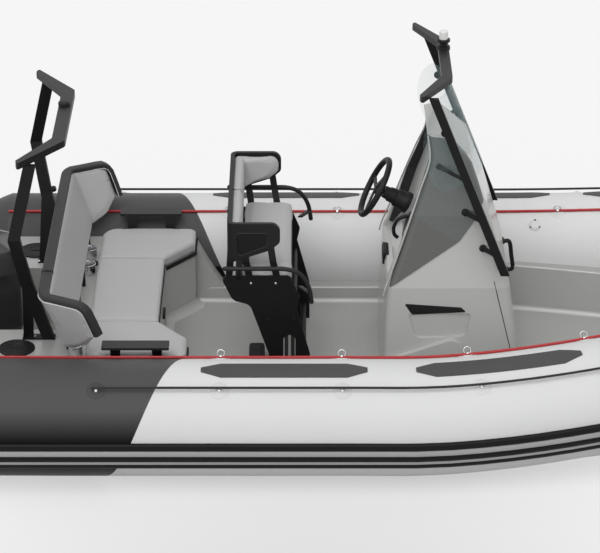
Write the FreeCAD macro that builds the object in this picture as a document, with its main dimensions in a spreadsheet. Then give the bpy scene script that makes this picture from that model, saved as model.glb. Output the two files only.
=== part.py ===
import FreeCAD, Part
import Sketcher
import math
import os
import re
from types import SimpleNamespace
from FreeCAD import Matrix, Placement, Rotation, Vector

# Rigid inflatable boat with a double helm seat, a console and an outboard engine.
# X runs forward from the aft face of the transom, Y to port, and Z up from the waterline.

SIZES = {
    # Buoyancy tube, bent round the bow
    "tube_radius": 280.0,
    "tube_spacing": 990.0,
    "tube_height": 300.0,
    "tube_aft": -60.0,
    "bow_start": 2050.0,
    "bow_length": 2670.0,
    "bow_fullness": 1.4,
    "bow_rise": 380.0,
    "bow_rise_power": 1.75,
    "nose_radius": 250.0,
    "cone_length": 390.0,
    "cone_tip_radius": 95.0,
    "skin_clearance": 0.3,
    "patch_bite": 2.0,
    # What is glued to the tube
    "strake_top": -1.0,
    "strake_groove": -11.5,
    "strake_middle": -16.5,
    "strake_line": -25.0,
    "strake_lower": -28.0,
    "strake_bottom": -37.0,
    "strake_rib": 20.0,
    "strake_crest": 27.0,
    "strake_hollow": 9.0,
    "piping_angle": 117.0,
    "piping_radius": 7.0,
    "wear_from": 70.0,
    "wear_to": 92.0,
    "wear_thickness": 4.0,
    "wear_point": 95.0,
    "ring_angle": 55.0,
    "ring_patch": 45.0,
    "ring_patch_thickness": 4.0,
    "ring_radius": 16.0,
    "ring_wire": 3.0,
    "ring_saddle_length": 26.0,
    "ring_saddle_height": 9.0,
    "lifeline_radius": 6.0,
    "valve_angle": 133.0,
    "valve_x": 2800.0,
    "valve_radius": 32.0,
    "valve_height": 7.0,
    # Hull under the tube
    "keel_depth": 380.0,
    "stem_height": 330.0,
    "stem_x": 4640.0,
    "forefoot_x": 2600.0,
    "forefoot_power": 3.0,
    "chine_depth": 55.0,
    "chine_inset": 90.0,
    "chine_flat": 60.0,
    "chine_end_height": 340.0,
    "hull_lip": 30.0,
    "hull_top": 100.0,
    "bow_deck_x": 3300.0,
    "bow_deck_underside": 400.0,
    "bow_deck_top": 440.0,
    "bow_locker_aft": 3450.0,
    "bow_locker_front": 3850.0,
    "bow_locker_half_width": 190.0,
    "bow_locker_floor": 170.0,
    "bow_lid_margin": 35.0,
    "bow_lid_thickness": 22.0,
    "bow_lid_corner": 40.0,
    # Cockpit liner
    "sole_height": 140.0,
    "sole_inset": 374.0,
    "sole_inset_bow": 38.0,
    "flange_lean": 16.0,
    "flange_height": 210.0,
    "flange_height_bow": 360.0,
    "flange_rise_from": 2200.0,
    "flange_rise_to": 2650.0,
    # Stern moulding with the engine well and the locker under the bench
    "stern_deck_height": 455.0,
    "bench_front": 797.0,
    "bench_wing_front": 947.0,
    "bench_centre_half_width": 365.0,
    "bench_corner_half_width": 560.0,
    "well_half_width": 360.0,
    "well_front": 340.0,
    "transom_thickness": 60.0,
    "transom_height": 170.0,
    "locker_aft": 455.0,
    "locker_wall": 30.0,
    "locker_half_width": 330.0,
    "locker_floor": 165.0,
    "ramp_front": 1100.0,
    "deck_cap_x": 110.0,
    "deck_cap_y": 570.0,
    "deck_cap_radius": 90.0,
    "deck_cap_height": 7.0,
    # Bench
    "bench_top": 508.0,
    "bench_aft": 452.0,
    "bench_half_width": 744.0,
    "bench_joint": 2.5,
    "cushion_corner": 6.0,
    "bench_aft_corner": 75.0,
    "bench_front_corner": 35.0,
    "bench_overhang": 3.0,
    "lid_board": 18.0,
    "backrest_bottom": 543.0,
    "backrest_top": 840.0,
    "backrest_thickness": 50.0,
    "backrest_aft_low": 355.0,
    "backrest_aft_high": 245.0,
    "backrest_half_low": 725.0,
    "backrest_half_high": 780.0,
    "backrest_wing_x_low": 568.0,
    "backrest_wing_x_high": 472.0,
    "backrest_wing_y_low": 845.0,
    "backrest_wing_y_high": 900.0,
    "backrest_corner": 45.0,
    "wing_top_x": 432.0,
    "wing_shoulder_x": 478.0,
    "wing_shoulder_z": 806.0,
    "wing_tip_x": 528.0,
    "wing_tip_z": 664.0,
    "wing_low_x": 484.0,
    "wing_low_z": 585.0,
    "bracket_width": 30.0,
    "bracket_foot": 43.0,
    "bracket_taper": 4.0,
    "bracket_inner_y": 150.0,
    "bracket_outer_y": 560.0,
    "rail_aft": 545.0,
    "rail_front": 870.0,
    "rail_top": 590.0,
    "rail_thickness": 12.0,
    "rail_inner_y": 747.5,
    "rail_outer_y": 830.0,
    "rail_leg": 55.0,
    "rail_leg_inset": 34.0,
    "rail_leg_taper": 8.0,
    "rail_leg_plate": 8.0,
    "rail_corner": 6.0,
    # Roll bar
    "roll_foot_y": 455.0,
    "roll_foot_aft_x": 160.0,
    "roll_foot_front_x": 260.0,
    "roll_fork_x": 176.0,
    "roll_fork_y": 561.0,
    "roll_fork_z": 800.0,
    "roll_kink_x": 128.0,
    "roll_kink_y": 620.0,
    "roll_kink_z": 1066.0,
    "roll_head_x": 212.0,
    "roll_head_y": 560.0,
    "roll_bar_z": 1428.0,
    "roll_bar_thickness": 34.0,
    "roll_tip_x": 158.0,
    "roll_tip_y": 622.0,
    "roll_bend_x": 365.0,
    "roll_bend_y": 330.0,
    "roll_bar_width": 66.0,
    "roll_leg_width": 60.0,
    "roll_leg_depth": 34.0,
    "roll_base_height": 8.0,
    # Helm seat
    "helm_plate_y": 412.0,
    "helm_plate": 8.0,
    "helm_foot_front": 1550.0,
    "helm_foot_length": 205.0,
    "helm_foot_top": 350.0,
    "helm_top_z": 779.0,
    "helm_top_length": 343.0,
    "helm_waist_x": 1254.0,
    "helm_waist_z": 621.0,
    "helm_brow_x": 1500.0,
    "helm_brow_z": 660.0,
    "helm_slot_length": 60.0,
    "helm_slot_low": 190.0,
    "helm_slot_high": 455.0,
    "helm_chin_x": 1485.0,
    "helm_chin_z": 593.0,
    "helm_tail_x": 1168.0,
    "helm_tail_z": 646.0,
    "helm_top_corner": 24.0,
    "helm_bend_corner": 50.0,
    "helm_slot_corner": 27.0,
    "helm_aft": 1108.0,
    "helm_tray_z": 690.0,
    "helm_tray": 40.0,
    "helm_pan_ledge": 35.0,
    "helm_tube_radius": 16.0,
    "helm_tube_z": 540.0,
    "helm_tube_aft_x": 1340.0,
    "helm_tube_front_x": 1470.0,
    "helm_tube_low_x": 1515.0,
    "helm_tube_low_z": 225.0,
    "helm_cushion_top": 812.0,
    "helm_cushion_front": 1462.0,
    "helm_cushion_margin": 4.0,
    "helm_cushion_corner": 30.0,
    "helm_cushion_aft": 1215.0,
    "helm_back_bottom": 872.0,
    "helm_back_top": 1075.0,
    "helm_back_x": 1145.0,
    "helm_back_half": 456.0,
    "helm_wing_x": 1425.0,
    "helm_wing_front": 1403.0,
    "helm_wing_under": 935.0,
    "helm_wing_round": 44.0,
    "helm_wrap_thickness": 22.0,
    "helm_pad": 38.0,
    "helm_pad_joint": 12.0,
    "arm_y": 500.0,
    "arm_radius": 10.0,
    "arm_aft_x": 1120.0,
    "arm_bend_x": 1445.0,
    "arm_front_x": 1560.0,
    "arm_high": 855.0,
    "arm_low": 666.0,
    "footrest_aft": 1239.0,
    "footrest_front": 1321.0,
    "footrest_inner": 35.0,
    "footrest_top": 222.0,
    # Console
    "console_foot_aft": 1905.0,
    "console_foot_front": 2625.0,
    "console_foot_half": 415.0,
    "console_waist_z": 700.0,
    "console_waist_aft": 1925.0,
    "console_waist_front": 2535.0,
    "console_waist_half": 395.0,
    "console_chest_z": 1060.0,
    "console_chest_aft": 2045.0,
    "console_chest_front": 2430.0,
    "console_chest_half": 325.0,
    "console_neck_z": 1320.0,
    "console_neck_aft": 2135.0,
    "console_neck_front": 2335.0,
    "console_neck_half": 250.0,
    "console_peak_z": 1440.0,
    "console_peak_aft": 2120.0,
    "console_peak_front": 2215.0,
    "console_peak_half": 205.0,
    "console_corner": 40.0,
    "console_skin": 5.0,
    "dash_wall": 34.0,
    "dash_depth": 95.0,
    "dash_low": 745.0,
    "dash_high": 1385.0,
    "vent_aft": 2014.0,
    "vent_front": 2326.0,
    "vent_z": 555.0,
    "vent_height": 62.0,
    "vent_depth": 20.0,
    "panel_drop": 135.0,
    "panel_depth": 9.0,
    "ledge_reach": 24.0,
    "ledge_aft": 1930.0,
    "ledge_low": 320.0,
    "ledge_peak_x": 2278.0,
    "ledge_peak_z": 445.0,
    "ledge_front": 2420.0,
    # Windscreen and its frame
    "frame_y": 460.0,
    "frame_top_x": 2136.0,
    "frame_top_z": 1727.0,
    "frame_foot_x": 2502.0,
    "frame_foot_z": 803.0,
    "frame_width": 44.0,
    "frame_depth": 30.0,
    "standoff_radius": 13.0,
    "cross_tip_x": 2077.0,
    "cross_tip_y": 522.0,
    "cross_bend_x": 2235.0,
    "cross_bend_y": 250.0,
    "cross_z": 1727.0,
    "cross_thickness": 30.0,
    "cross_width": 52.0,
    "screen_thickness": 5.0,
    "screen_top": 1640.0,
    "screen_bottom": 1215.0,
    "screen_front_low": 2410.0,
    "screen_front_high": 2236.0,
    "screen_half": 415.0,
    "screen_wrap": 260.0,
    "screen_bulge_x": 2095.0,
    "screen_bulge_z": 1470.0,
    "screen_shoulder_x": 2165.0,
    "screen_foot_x": 2190.0,
    "light_radius": 26.0,
    "light_holder_height": 42.0,
    "lamp_radius": 22.0,
    "lamp_rounding": 10.0,
    "light_height": 45.0,
    "light_y": 165.0,
    # Steering wheel
    "wheel_x": 1875.0,
    "wheel_z": 1072.0,
    "wheel_tilt": 27.7,
    "wheel_radius": 150.0,
    "wheel_rim": 15.0,
    "wheel_hub": 32.0,
    "wheel_hub_length": 26.0,
    "wheel_spoke": 22.0,
    "wheel_spoke_thickness": 8.0,
    "wheel_shaft": 10.0,
    "wheel_shaft_play": 0.05,
    "boss_radius": 46.0,
    "boss_gap": 18.0,
    # Outboard engine
    "tilt_x": -50.0,
    "tilt_z": 190.0,
    "tilt_pin": 14.0,
    "tilt_play": 0.05,
    "clamp_y": 70.0,
    "clamp_plate": 22.0,
    "clamp_drop": 230.0,
    "steer_x": -150.0,
    "steer_tube": 32.0,
    "steer_pin": 15.0,
    "steer_top": 238.0,
    "steer_bottom": -60.0,
    "swivel_clearance": 0.5,
    "yoke": 26.0,
    "cowl_bottom": 275.0,
    "cowl_top": 808.0,
    "cowl_front": 98.0,
    "cowl_aft": -480.0,
    "cowl_half_width": 190.0,
    "cowl_wall": 6.0,
    "powerhead_aft": -365.0,
    "powerhead_front": 5.0,
    "powerhead_half_width": 92.0,
    "powerhead_top": 698.0,
    "leg_front": -185.0,
    "leg_aft": -345.0,
    "leg_half_width": 48.0,
    "plate_z": -400.0,
    "shaft_z": -565.0,
    "gearcase_radius": 48.0,
    "gearcase_front": -150.0,
    "gearcase_aft": -385.0,
    "skeg_bottom": -760.0,
    "prop_radius": 145.0,
    "prop_hub": 42.0,
    "prop_length": 95.0,
    "prop_play": 2.0,
    "prop_pitch_angle": 28.0,
    "prop_blades": 3.0,
    "prop_shaft": 12.0,
    "prop_shaft_play": 0.05,
    # Towing and lifting eyes
    "eye_hole": 12.0,
    "eye_rim": 26.0,
    "eye_thickness": 12.0,
    "eye_y": 600.0,
    "eye_z": -20.0,
    "eye_reach": 34.0,
    "eye_base": 8.0,
    "bow_eye_z": 60.0,
}

# Where the fittings sit along the tube
RING_X = [540.0, 1120.0, 1700.0, 2350.0, 2990.0, 3600.0, 4150.0]
WEAR_X = [(1030.0, 1820.0), (2050.0, 2860.0), (3040.0, 3850.0)]
TUBE_X = [-60.0, 300.0, 700.0, 1100.0, 1500.0, 1800.0]
PIPING_SIDES = 12
BLADE_SECTIONS = [(0.0, 62.0, 9.0), (0.45, 105.0, 6.0), (0.8, 100.0, 4.5), (1.0, 50.0, 3.0)]
BOW_DEGREES = [0.0, 12.0, 24.0, 36.0, 48.0, 60.0, 72.0, 82.0, 90.0]
HULL_X = [0.0, 900.0, 1800.0, 2600.0, 3200.0, 3700.0, 4100.0, 4400.0, 4640.0]
STANDOFF_Z = [1270.0, 1080.0, 1000.0, 841.0]
LINER_X = [947.0, 2050.0, 2200.0, 2310.0, 2425.0, 2540.0, 2650.0, 2850.0, 3080.0, 3300.0]

doc = FreeCAD.newDocument("inflatable_boat")
sheet = doc.addObject("Spreadsheet::Sheet", "sizes")
for row, (name, value) in enumerate(SIZES.items(), start=1):
    sheet.set(f"A{row}", name)
    sheet.set(f"B{row}", str(value))
    sheet.setAlias(f"B{row}", name)
doc.recompute()
d = SimpleNamespace(**{name: float(sheet.get(name)) for name in SIZES})

pieces = []


def keep(obj, label):
    """Take an object of the document as a sub-part of the boat."""
    obj.Label = label
    pieces.append(obj)
    return obj


def feature(label, shape):
    """A sub-part whose shape is made by lofts and booleans."""
    obj = doc.addObject("Part::Feature", label)
    obj.Shape = shape
    obj.Placement = shape.Placement
    return keep(obj, label)


def tied(expression):
    """An expression of size names, such as bench_aft - bench_joint, tied to the sheet's cells."""
    return re.sub(r"([a-z]\w+)", r"sizes.\1", expression)


def plane_of(body, role):
    return [item for item in body.Origin.OriginFeatures if item.Role == role][0]


def new_body(label):
    return keep(doc.addObject("PartDesign::Body", label), label)


def add_sketch(body, name, role, offset, corners):
    """A closed outline in one of the body's own planes; each corner is a pair of expressions."""
    sketch = body.newObject("Sketcher::SketchObject", name)
    sketch.AttachmentSupport = (plane_of(body, role), [""])
    sketch.MapMode = "FlatFace"
    sketch.setExpression("AttachmentOffset.Base.z", tied(offset))
    count = len(corners)
    ring = [Vector(math.cos(2 * math.pi * step / count), math.sin(2 * math.pi * step / count), 0) * 500.0
            for step in range(count)]
    for index in range(count):
        sketch.addGeometry(Part.LineSegment(ring[index], ring[(index + 1) % count]))
    for index in range(count):
        sketch.addConstraint(Sketcher.Constraint("Coincident", index, 2, (index + 1) % count, 1))
    for index, (across, up) in enumerate(corners):
        first = sketch.addConstraint(Sketcher.Constraint("DistanceX", -1, 1, index, 1, ring[index].x))
        second = sketch.addConstraint(Sketcher.Constraint("DistanceY", -1, 1, index, 1, ring[index].y))
        sketch.setExpression(f"Constraints[{first}]", tied(across))
        sketch.setExpression(f"Constraints[{second}]", tied(up))
    return sketch


def add_pad(body, name, role, offset, length, corners):
    """Raise an outline from an offset of the body's plane; returns the pad and its sketch."""
    sketch = add_sketch(body, name + "_outline", role, offset, corners)
    pad = body.newObject("PartDesign::Pad", name)
    pad.Profile = sketch
    pad.setExpression("Length", tied(length))
    doc.recompute()
    return pad, sketch


def add_mirror(body, name, originals):
    """Repeat features on the other side of the boat."""
    mirror = body.newObject("PartDesign::Mirrored", name)
    mirror.Originals = originals
    mirror.MirrorPlane = (plane_of(body, "XZ_Plane"), [""])
    body.Tip = mirror
    doc.recompute()
    return mirror


def rises_from(edge, corner, level):
    """Whether an edge stands on a corner of a level or an upright outline, on either side of the boat."""
    start, end = edge.Vertexes[0].Point, edge.Vertexes[-1].Point
    run = end - start
    if level:
        drift = math.hypot(run.x, run.y)
        off = math.hypot(start.x - corner.x, abs(start.y) - abs(corner.y))
    else:
        drift = math.hypot(run.x, run.z)
        off = math.hypot(start.x - corner.x, start.z - corner.y)
    return run.Length > 0.01 and drift < 0.01 and off < 0.01


def add_rounding(body, name, sketch, corners, radius):
    """Round the edges that rise from some corners of an outline, on both sides of the boat."""
    base = body.Tip
    level = plane_of(body, "XY_Plane") == sketch.AttachmentSupport[0][0]
    places = [sketch.Geometry[index].StartPoint for index in corners]
    edges = []
    for number, edge in enumerate(base.Shape.Edges, start=1):
        if any(rises_from(edge, corner, level) for corner in places):
            edges.append(f"Edge{number}")
    fillet = body.newObject("PartDesign::Fillet", name)
    fillet.Base = (base, edges)
    fillet.setExpression("Radius", tied(radius))
    body.Tip = fillet
    doc.recompute()
    return fillet


def add_box(name, x, y, z):
    """A plain block; each direction is a pair of expressions."""
    box = doc.addObject("Part::Box", name)
    for side, place, (start, end) in (("Length", "x", x), ("Width", "y", y), ("Height", "z", z)):
        box.setExpression(side, tied(f"{end} - ({start})"))
        box.setExpression(f"Placement.Base.{place}", tied(start))
    doc.recompute()
    return box


def add_cylinder(name, radius, height, x, y, z):
    """An upright cylinder; sizes and place are expressions."""
    cylinder = doc.addObject("Part::Cylinder", name)
    cylinder.setExpression("Radius", tied(radius))
    cylinder.setExpression("Height", tied(height))
    for place, value in (("x", x), ("y", y), ("z", z)):
        cylinder.setExpression(f"Placement.Base.{place}", tied(value))
    doc.recompute()
    return cylinder


def rounded_outline(points, radius):
    """A closed outline of lines and tangent arcs; radius is one value or one for each corner."""
    radii = radius if isinstance(radius, (list, tuple)) else [radius] * len(points)
    corners = [Vector(x, y, 0) for x, y in points]
    turns = []
    for index, corner in enumerate(corners):
        back = (corners[index - 1] - corner).normalize()
        ahead = (corners[(index + 1) % len(corners)] - corner).normalize()
        if radii[index] <= 0:
            turns.append((corner, None, corner))
            continue
        opening = back.getAngle(ahead)
        reach = radii[index] / math.tan(opening / 2)
        inward = (back + ahead).normalize()
        middle = corner + inward * (radii[index] / math.sin(opening / 2) - radii[index])
        turns.append((corner + back * reach, middle, corner + ahead * reach))
    edges = []
    for index, (start, middle, end) in enumerate(turns):
        if middle is not None:
            edges.append(Part.Arc(start, middle, end).toShape())
        following = turns[(index + 1) % len(turns)][0]
        if (following - end).Length > 0.001:
            edges.append(Part.LineSegment(end, following).toShape())
    return Part.Wire(edges)


def upright(points, radius, bottom, top):
    """An outline in plan, raised from one height to another."""
    wire = rounded_outline(points, radius)
    wire.translate(Vector(0, 0, bottom))
    return Part.Face(wire).extrude(Vector(0, 0, top - bottom))


def sideways(points, radius, start, end):
    """A side profile of X and Z, extended across the boat."""
    wire = rounded_outline(points, radius)
    wire.rotate(Vector(), Vector(1, 0, 0), 90)
    wire.translate(Vector(0, start, 0))
    return Part.Face(wire).extrude(Vector(0, end - start, 0))


def level_outline(points, radius, height):
    """An outline in plan at one height, as a section of a loft."""
    wire = rounded_outline(points, radius)
    wire.translate(Vector(0, 0, height))
    return wire


def block(x_from, x_to, y_from, y_to, z_from, z_to):
    """A plain block between six planes."""
    return Part.makeBox(x_to - x_from, y_to - y_from, z_to - z_from, Vector(x_from, y_from, z_from))


def rod(start, end, radius):
    """A round rod from one point to another."""
    start, end = Vector(*start), Vector(*end)
    return Part.makeCylinder(radius, (end - start).Length, start, end - start)


def mirrored(shape):
    return shape.mirror(Vector(), Vector(0, 1, 0))


def both_sides(shape):
    return Part.Compound([shape, mirrored(shape)])


def joined(shapes):
    """Several touching solids as one."""
    first = shapes[0]
    return first.multiFuse(shapes[1:]).removeSplitter()


def bent_bar(points, width, depth):
    """A bar of rectangular section whose corners follow the given points, cut level at both ends."""
    sections = []
    for x, y, z in points:
        corners = [(x - width / 2, y - depth / 2), (x + width / 2, y - depth / 2),
                   (x + width / 2, y + depth / 2), (x - width / 2, y + depth / 2)]
        sections.append(level_outline(corners, 0, z))
    return Part.makeLoft(sections, True, True)


def bent_rod(points, bend, radius):
    """A round rod of straight runs and tangent arcs."""
    corners = [Vector(*point) for point in points]
    edges = []
    last = corners[0]
    for before, corner, after in zip(corners, corners[1:], corners[2:]):
        back = (before - corner).normalize()
        ahead = (after - corner).normalize()
        opening = back.getAngle(ahead)
        reach = bend / math.tan(opening / 2)
        middle = corner + (back + ahead).normalize() * (bend / math.sin(opening / 2) - bend)
        start = corner + back * reach
        end = corner + ahead * reach
        edges.append(Part.LineSegment(last, start).toShape())
        edges.append(Part.Arc(start, middle, end).toShape())
        last = end
    edges.append(Part.LineSegment(last, corners[-1]).toShape())
    path = Part.Wire(edges)
    ring = Part.Wire(Part.makeCircle(radius, corners[0], corners[1] - corners[0]))
    return path.makePipeShell([ring], True, False)


# Form of the tube

def bow_share(x):
    """How far along the bow a place is, from 0 at its start to 1 at the nose."""
    return min(max((x - d.bow_start) / d.bow_length, 0.0), 1.0)


def half_breadth(x):
    """Distance of the tube's centreline from the middle of the boat."""
    return d.tube_spacing * math.sqrt(max(1.0 - bow_share(x) ** d.bow_fullness, 0.0))


def centre_height(x):
    return d.tube_height + d.bow_rise * bow_share(x) ** d.bow_rise_power


def radius_at(x):
    return d.tube_radius - (d.tube_radius - d.nose_radius) * bow_share(x) ** 2


def sweep_of(x):
    """The sweep that belongs to a place on the port side."""
    along = (x - d.bow_start) / d.bow_length
    return along if along < 0 else math.asin(min(along, 1.0))


def place_of(sweep):
    """Place along the boat for a sweep that runs from the port stern round the nose to starboard."""
    port = min(sweep, math.pi - sweep)
    return d.bow_start + d.bow_length * (port if port < 0 else math.sin(port))


def tube_centre(sweep):
    side = 1.0 if sweep <= math.pi / 2 else -1.0
    x = place_of(sweep)
    return Vector(x, side * half_breadth(x), centre_height(x))


def tube_frame(sweep):
    """Placement with its X outward, its Y up and its Z along the tube."""
    small = 0.002
    along = (tube_centre(sweep + small) - tube_centre(sweep - small)).normalize()
    outward = Vector(0, 0, 1).cross(along).normalize()
    upward = along.cross(outward)
    centre = tube_centre(sweep)
    return Placement(Matrix(outward.x, upward.x, along.x, centre.x,
                            outward.y, upward.y, along.y, centre.y,
                            outward.z, upward.z, along.z, centre.z,
                            0, 0, 0, 1))


def on_section(radius, degrees):
    """A point of a tube section, by its angle up from the outboard side."""
    angle = math.radians(degrees)
    return Vector(radius * math.cos(angle), radius * math.sin(angle), 0)


def along_tube(section, sweeps):
    """Loft a section, given as a function of the tube's radius, along the tube."""
    wires = []
    for sweep in sweeps:
        wire = section(radius_at(place_of(sweep)))
        wire.Placement = tube_frame(sweep)
        wires.append(wire)
    return Part.makeLoft(wires, True, False)


def round_the_bow():
    port = [sweep_of(x) for x in TUBE_X] + [math.radians(degrees) for degrees in BOW_DEGREES]
    return port + [math.pi - sweep for sweep in reversed(port[:-1])]


def between(x_from, x_to, count):
    """Evenly spread sweeps on the port side."""
    first, last = sweep_of(x_from), sweep_of(x_to)
    return [first + (last - first) * index / (count - 1) for index in range(count)]


def tube_solid(grow):
    return along_tube(lambda radius: Part.Wire(Part.makeCircle(radius + grow)), round_the_bow())


TUBE_CLEAR = tube_solid(d.skin_clearance)


# Buoyancy tube and its fittings

def make_tube():
    feature("buoyancy_tube", tube_solid(0.0))


def make_stern_cones():
    """The two pointed tube ends behind the transom, each turned round its own axis."""
    body = doc.addObject("PartDesign::Body", "stern_cone")
    sketch = body.newObject("Sketcher::SketchObject", "stern_cone_profile")
    plane = [item for item in body.Origin.OriginFeatures if item.Role == "XY_Plane"][0]
    sketch.AttachmentSupport = (plane, [""])
    sketch.MapMode = "FlatFace"
    end = -d.cone_length
    shoulder = Vector(0, d.tube_radius, 0)
    tip = Vector(end + d.cone_tip_radius, d.cone_tip_radius, 0)
    nose = Vector(end, 0, 0)
    bulge = Vector(end / 2 + d.cone_tip_radius / 2, (d.tube_radius + d.cone_tip_radius) / 2 + 22.0, 0)
    turned = d.cone_tip_radius * math.sqrt(0.5)
    cap = Vector(end + d.cone_tip_radius - turned, turned, 0)
    sketch.addGeometry(Part.LineSegment(Vector(), shoulder))
    sketch.addGeometry(Part.Arc(shoulder, bulge, tip))
    sketch.addGeometry(Part.Arc(tip, cap, nose))
    sketch.addGeometry(Part.LineSegment(nose, Vector()))
    turn = body.newObject("PartDesign::Revolution", "stern_cone_turn")
    turn.Profile = sketch
    turn.ReferenceAxis = (sketch, ["H_Axis"])
    turn.Angle = 360.0
    doc.recompute()
    cone = body.Shape.copy()
    cone.translate(Vector(d.tube_aft, d.tube_spacing, d.tube_height))
    feature("stern_cones", both_sides(cone))


def strake_section(radius):
    """Three black ribs with two hollows between them, in one rubber section."""
    steps = [(d.strake_top, d.strake_rib), (d.strake_groove, d.strake_rib),
             (d.strake_groove, d.strake_hollow), (d.strake_middle, d.strake_hollow),
             (d.strake_middle, d.strake_crest), (d.strake_line, d.strake_crest),
             (d.strake_line, d.strake_hollow), (d.strake_lower, d.strake_hollow),
             (d.strake_lower, d.strake_rib), (d.strake_bottom, d.strake_rib)]
    inner = radius + d.skin_clearance
    first = on_section(inner, d.strake_top)
    last = on_section(inner, d.strake_bottom)
    middle = on_section(inner, (d.strake_top + d.strake_bottom) / 2)
    points = [first] + [on_section(radius + height, angle) for angle, height in steps] + [last]
    edges = [Part.LineSegment(start, end).toShape() for start, end in zip(points, points[1:])]
    edges.append(Part.Arc(last, middle, first).toShape())
    return Part.Wire(edges)


def make_strake():
    feature("rubbing_strake", along_tube(strake_section, round_the_bow()))


def round_line(angle, stand_off, line_radius):
    """Section of a round line that follows the tube at an angle."""
    def section(radius):
        return Part.Wire(Part.makeCircle(line_radius, on_section(radius + stand_off, angle)))
    return section


def make_piping():
    """Piping along the inner top of the tube, with a many-sided section."""
    def section(radius):
        centre = on_section(radius + d.piping_radius + d.skin_clearance, d.piping_angle)
        turn = 2 * math.pi / PIPING_SIDES
        ring = [centre + Vector(math.cos(turn * side), math.sin(turn * side), 0) * d.piping_radius
                for side in range(PIPING_SIDES)]
        return Part.makePolygon(ring + ring[:1])
    feature("red_piping", along_tube(section, round_the_bow()))


def make_lifeline():
    """The rope runs taut through the rings, from the first one aft to the last one forward."""
    lift = d.ring_patch_thickness + d.skin_clearance + 2 * d.ring_radius - d.ring_wire
    stand_off = lift - d.lifeline_radius - d.skin_clearance
    section = round_line(d.ring_angle, stand_off, d.lifeline_radius)
    ends = d.ring_patch / 2
    line = along_tube(section, between(RING_X[0] - ends, RING_X[-1] + ends, 22))
    feature("lifeline", both_sides(line))


def wear_section(width_share):
    """Section of a wear patch, which narrows to its pointed ends."""
    middle = (d.wear_from + d.wear_to) / 2
    half = (d.wear_to - d.wear_from) / 2 * width_share

    def section(radius):
        low = radius - d.patch_bite
        high = radius + d.skin_clearance + d.wear_thickness
        start, end = middle - half, middle + half
        inner = Part.Arc(on_section(low, start), on_section(low, middle), on_section(low, end))
        outer = Part.Arc(on_section(high, end), on_section(high, middle), on_section(high, start))
        return Part.Wire([inner.toShape(),
                          Part.LineSegment(on_section(low, end), on_section(high, end)).toShape(),
                          outer.toShape(),
                          Part.LineSegment(on_section(high, start), on_section(low, start)).toShape()])
    return section


def make_wear_patches():
    """Long hexagonal patches on top of the tube, where people sit and climb aboard."""
    patches = []
    narrow = 0.3
    for start, end in WEAR_X:
        runs = [(start, start + d.wear_point, narrow, 1.0, 3),
                (start + d.wear_point, end - d.wear_point, 1.0, 1.0, 7),
                (end - d.wear_point, end, 1.0, narrow, 3)]
        parts = []
        for run_start, run_end, share_start, share_end, count in runs:
            wires = []
            for index, sweep in enumerate(between(run_start, run_end, count)):
                share = share_start + (share_end - share_start) * index / (count - 1)
                wire = wear_section(share)(radius_at(place_of(sweep)))
                wire.Placement = tube_frame(sweep)
                wires.append(wire)
            parts.append(Part.makeLoft(wires, True, False))
        patch = joined(parts).cut(TUBE_CLEAR)
        patches += [patch, mirrored(patch)]
    feature("wear_patches", Part.Compound(patches))


def tube_pad(sweep, angle, pad_radius, thickness):
    """A round patch over the tube's skin, in the tube's own frame, to be trimmed to the skin."""
    radius = radius_at(place_of(sweep))
    reach = pad_radius * 2
    outer = Part.makeCylinder(radius + d.skin_clearance + thickness, reach, Vector(0, 0, -reach / 2))
    inner = Part.makeCylinder(radius - d.patch_bite, reach, Vector(0, 0, -reach / 2))
    post = Part.makeCylinder(pad_radius, radius * 2, Vector(), on_section(1.0, angle))
    return outer.cut(inner).common(post)


def make_rings():
    """Wire rings in saddles on round patches; the lifeline runs through them."""
    rings = []
    for x in RING_X:
        sweep = sweep_of(x)
        skin = radius_at(x) + d.skin_clearance + d.ring_patch_thickness
        pad = tube_pad(sweep, d.ring_angle, d.ring_patch, d.ring_patch_thickness)
        centre = on_section(skin + d.ring_radius, d.ring_angle)
        ring = Part.makeTorus(d.ring_radius, d.ring_wire, centre, Vector(0, 0, 1))
        foot = on_section(skin - d.ring_patch_thickness / 2, d.ring_angle)
        saddle = Part.makeBox(d.ring_saddle_length, d.ring_saddle_length, d.ring_saddle_height)
        saddle.translate(Vector(-d.ring_saddle_length / 2, -d.ring_saddle_length / 2, 0))
        turn = Rotation(Vector(0, 0, 1), on_section(1.0, d.ring_angle))
        saddle.Placement = Placement(foot, turn).multiply(saddle.Placement)
        whole = joined([pad, saddle, ring])
        whole.Placement = tube_frame(sweep)
        whole = whole.cut(TUBE_CLEAR)
        rings += [whole, mirrored(whole)]
    feature("tube_rings", Part.Compound(rings))


def make_valves():
    sweep = sweep_of(d.valve_x)
    valve = tube_pad(sweep, d.valve_angle, d.valve_radius, d.valve_height)
    valve.Placement = tube_frame(sweep)
    feature("tube_valves", both_sides(valve.cut(TUBE_CLEAR)))


# Hull

def hull_share(x):
    """How far the forefoot has risen towards the stem."""
    return max((x - d.forefoot_x) / (d.stem_x - d.forefoot_x), 0.0)


def keel_height(x):
    return -d.keel_depth + (d.keel_depth + d.stem_height) * hull_share(x) ** d.forefoot_power


def hull_section(x):
    """Half a deep V with a flat chine, closed along the middle of the boat."""
    share = hull_share(x)
    chine_y = (half_breadth(x) - d.chine_inset) * (1.0 - 0.6 * share ** 4)
    chine_z = -d.chine_depth + (d.chine_depth + d.chine_end_height) * share ** 2.2
    flat = d.chine_flat * (1.0 - 0.7 * share)
    lip_z = centre_height(x) - radius_at(x) - d.hull_lip
    edge_y = half_breadth(x)
    points = [Vector(x, 0, keel_height(x)), Vector(x, chine_y - flat, chine_z),
              Vector(x, chine_y, chine_z), Vector(x, edge_y, max(lip_z, chine_z + 8.0)),
              Vector(x, edge_y, d.bow_deck_underside), Vector(x, 0, d.bow_deck_underside)]
    return Part.makePolygon(points + points[:1])


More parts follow.
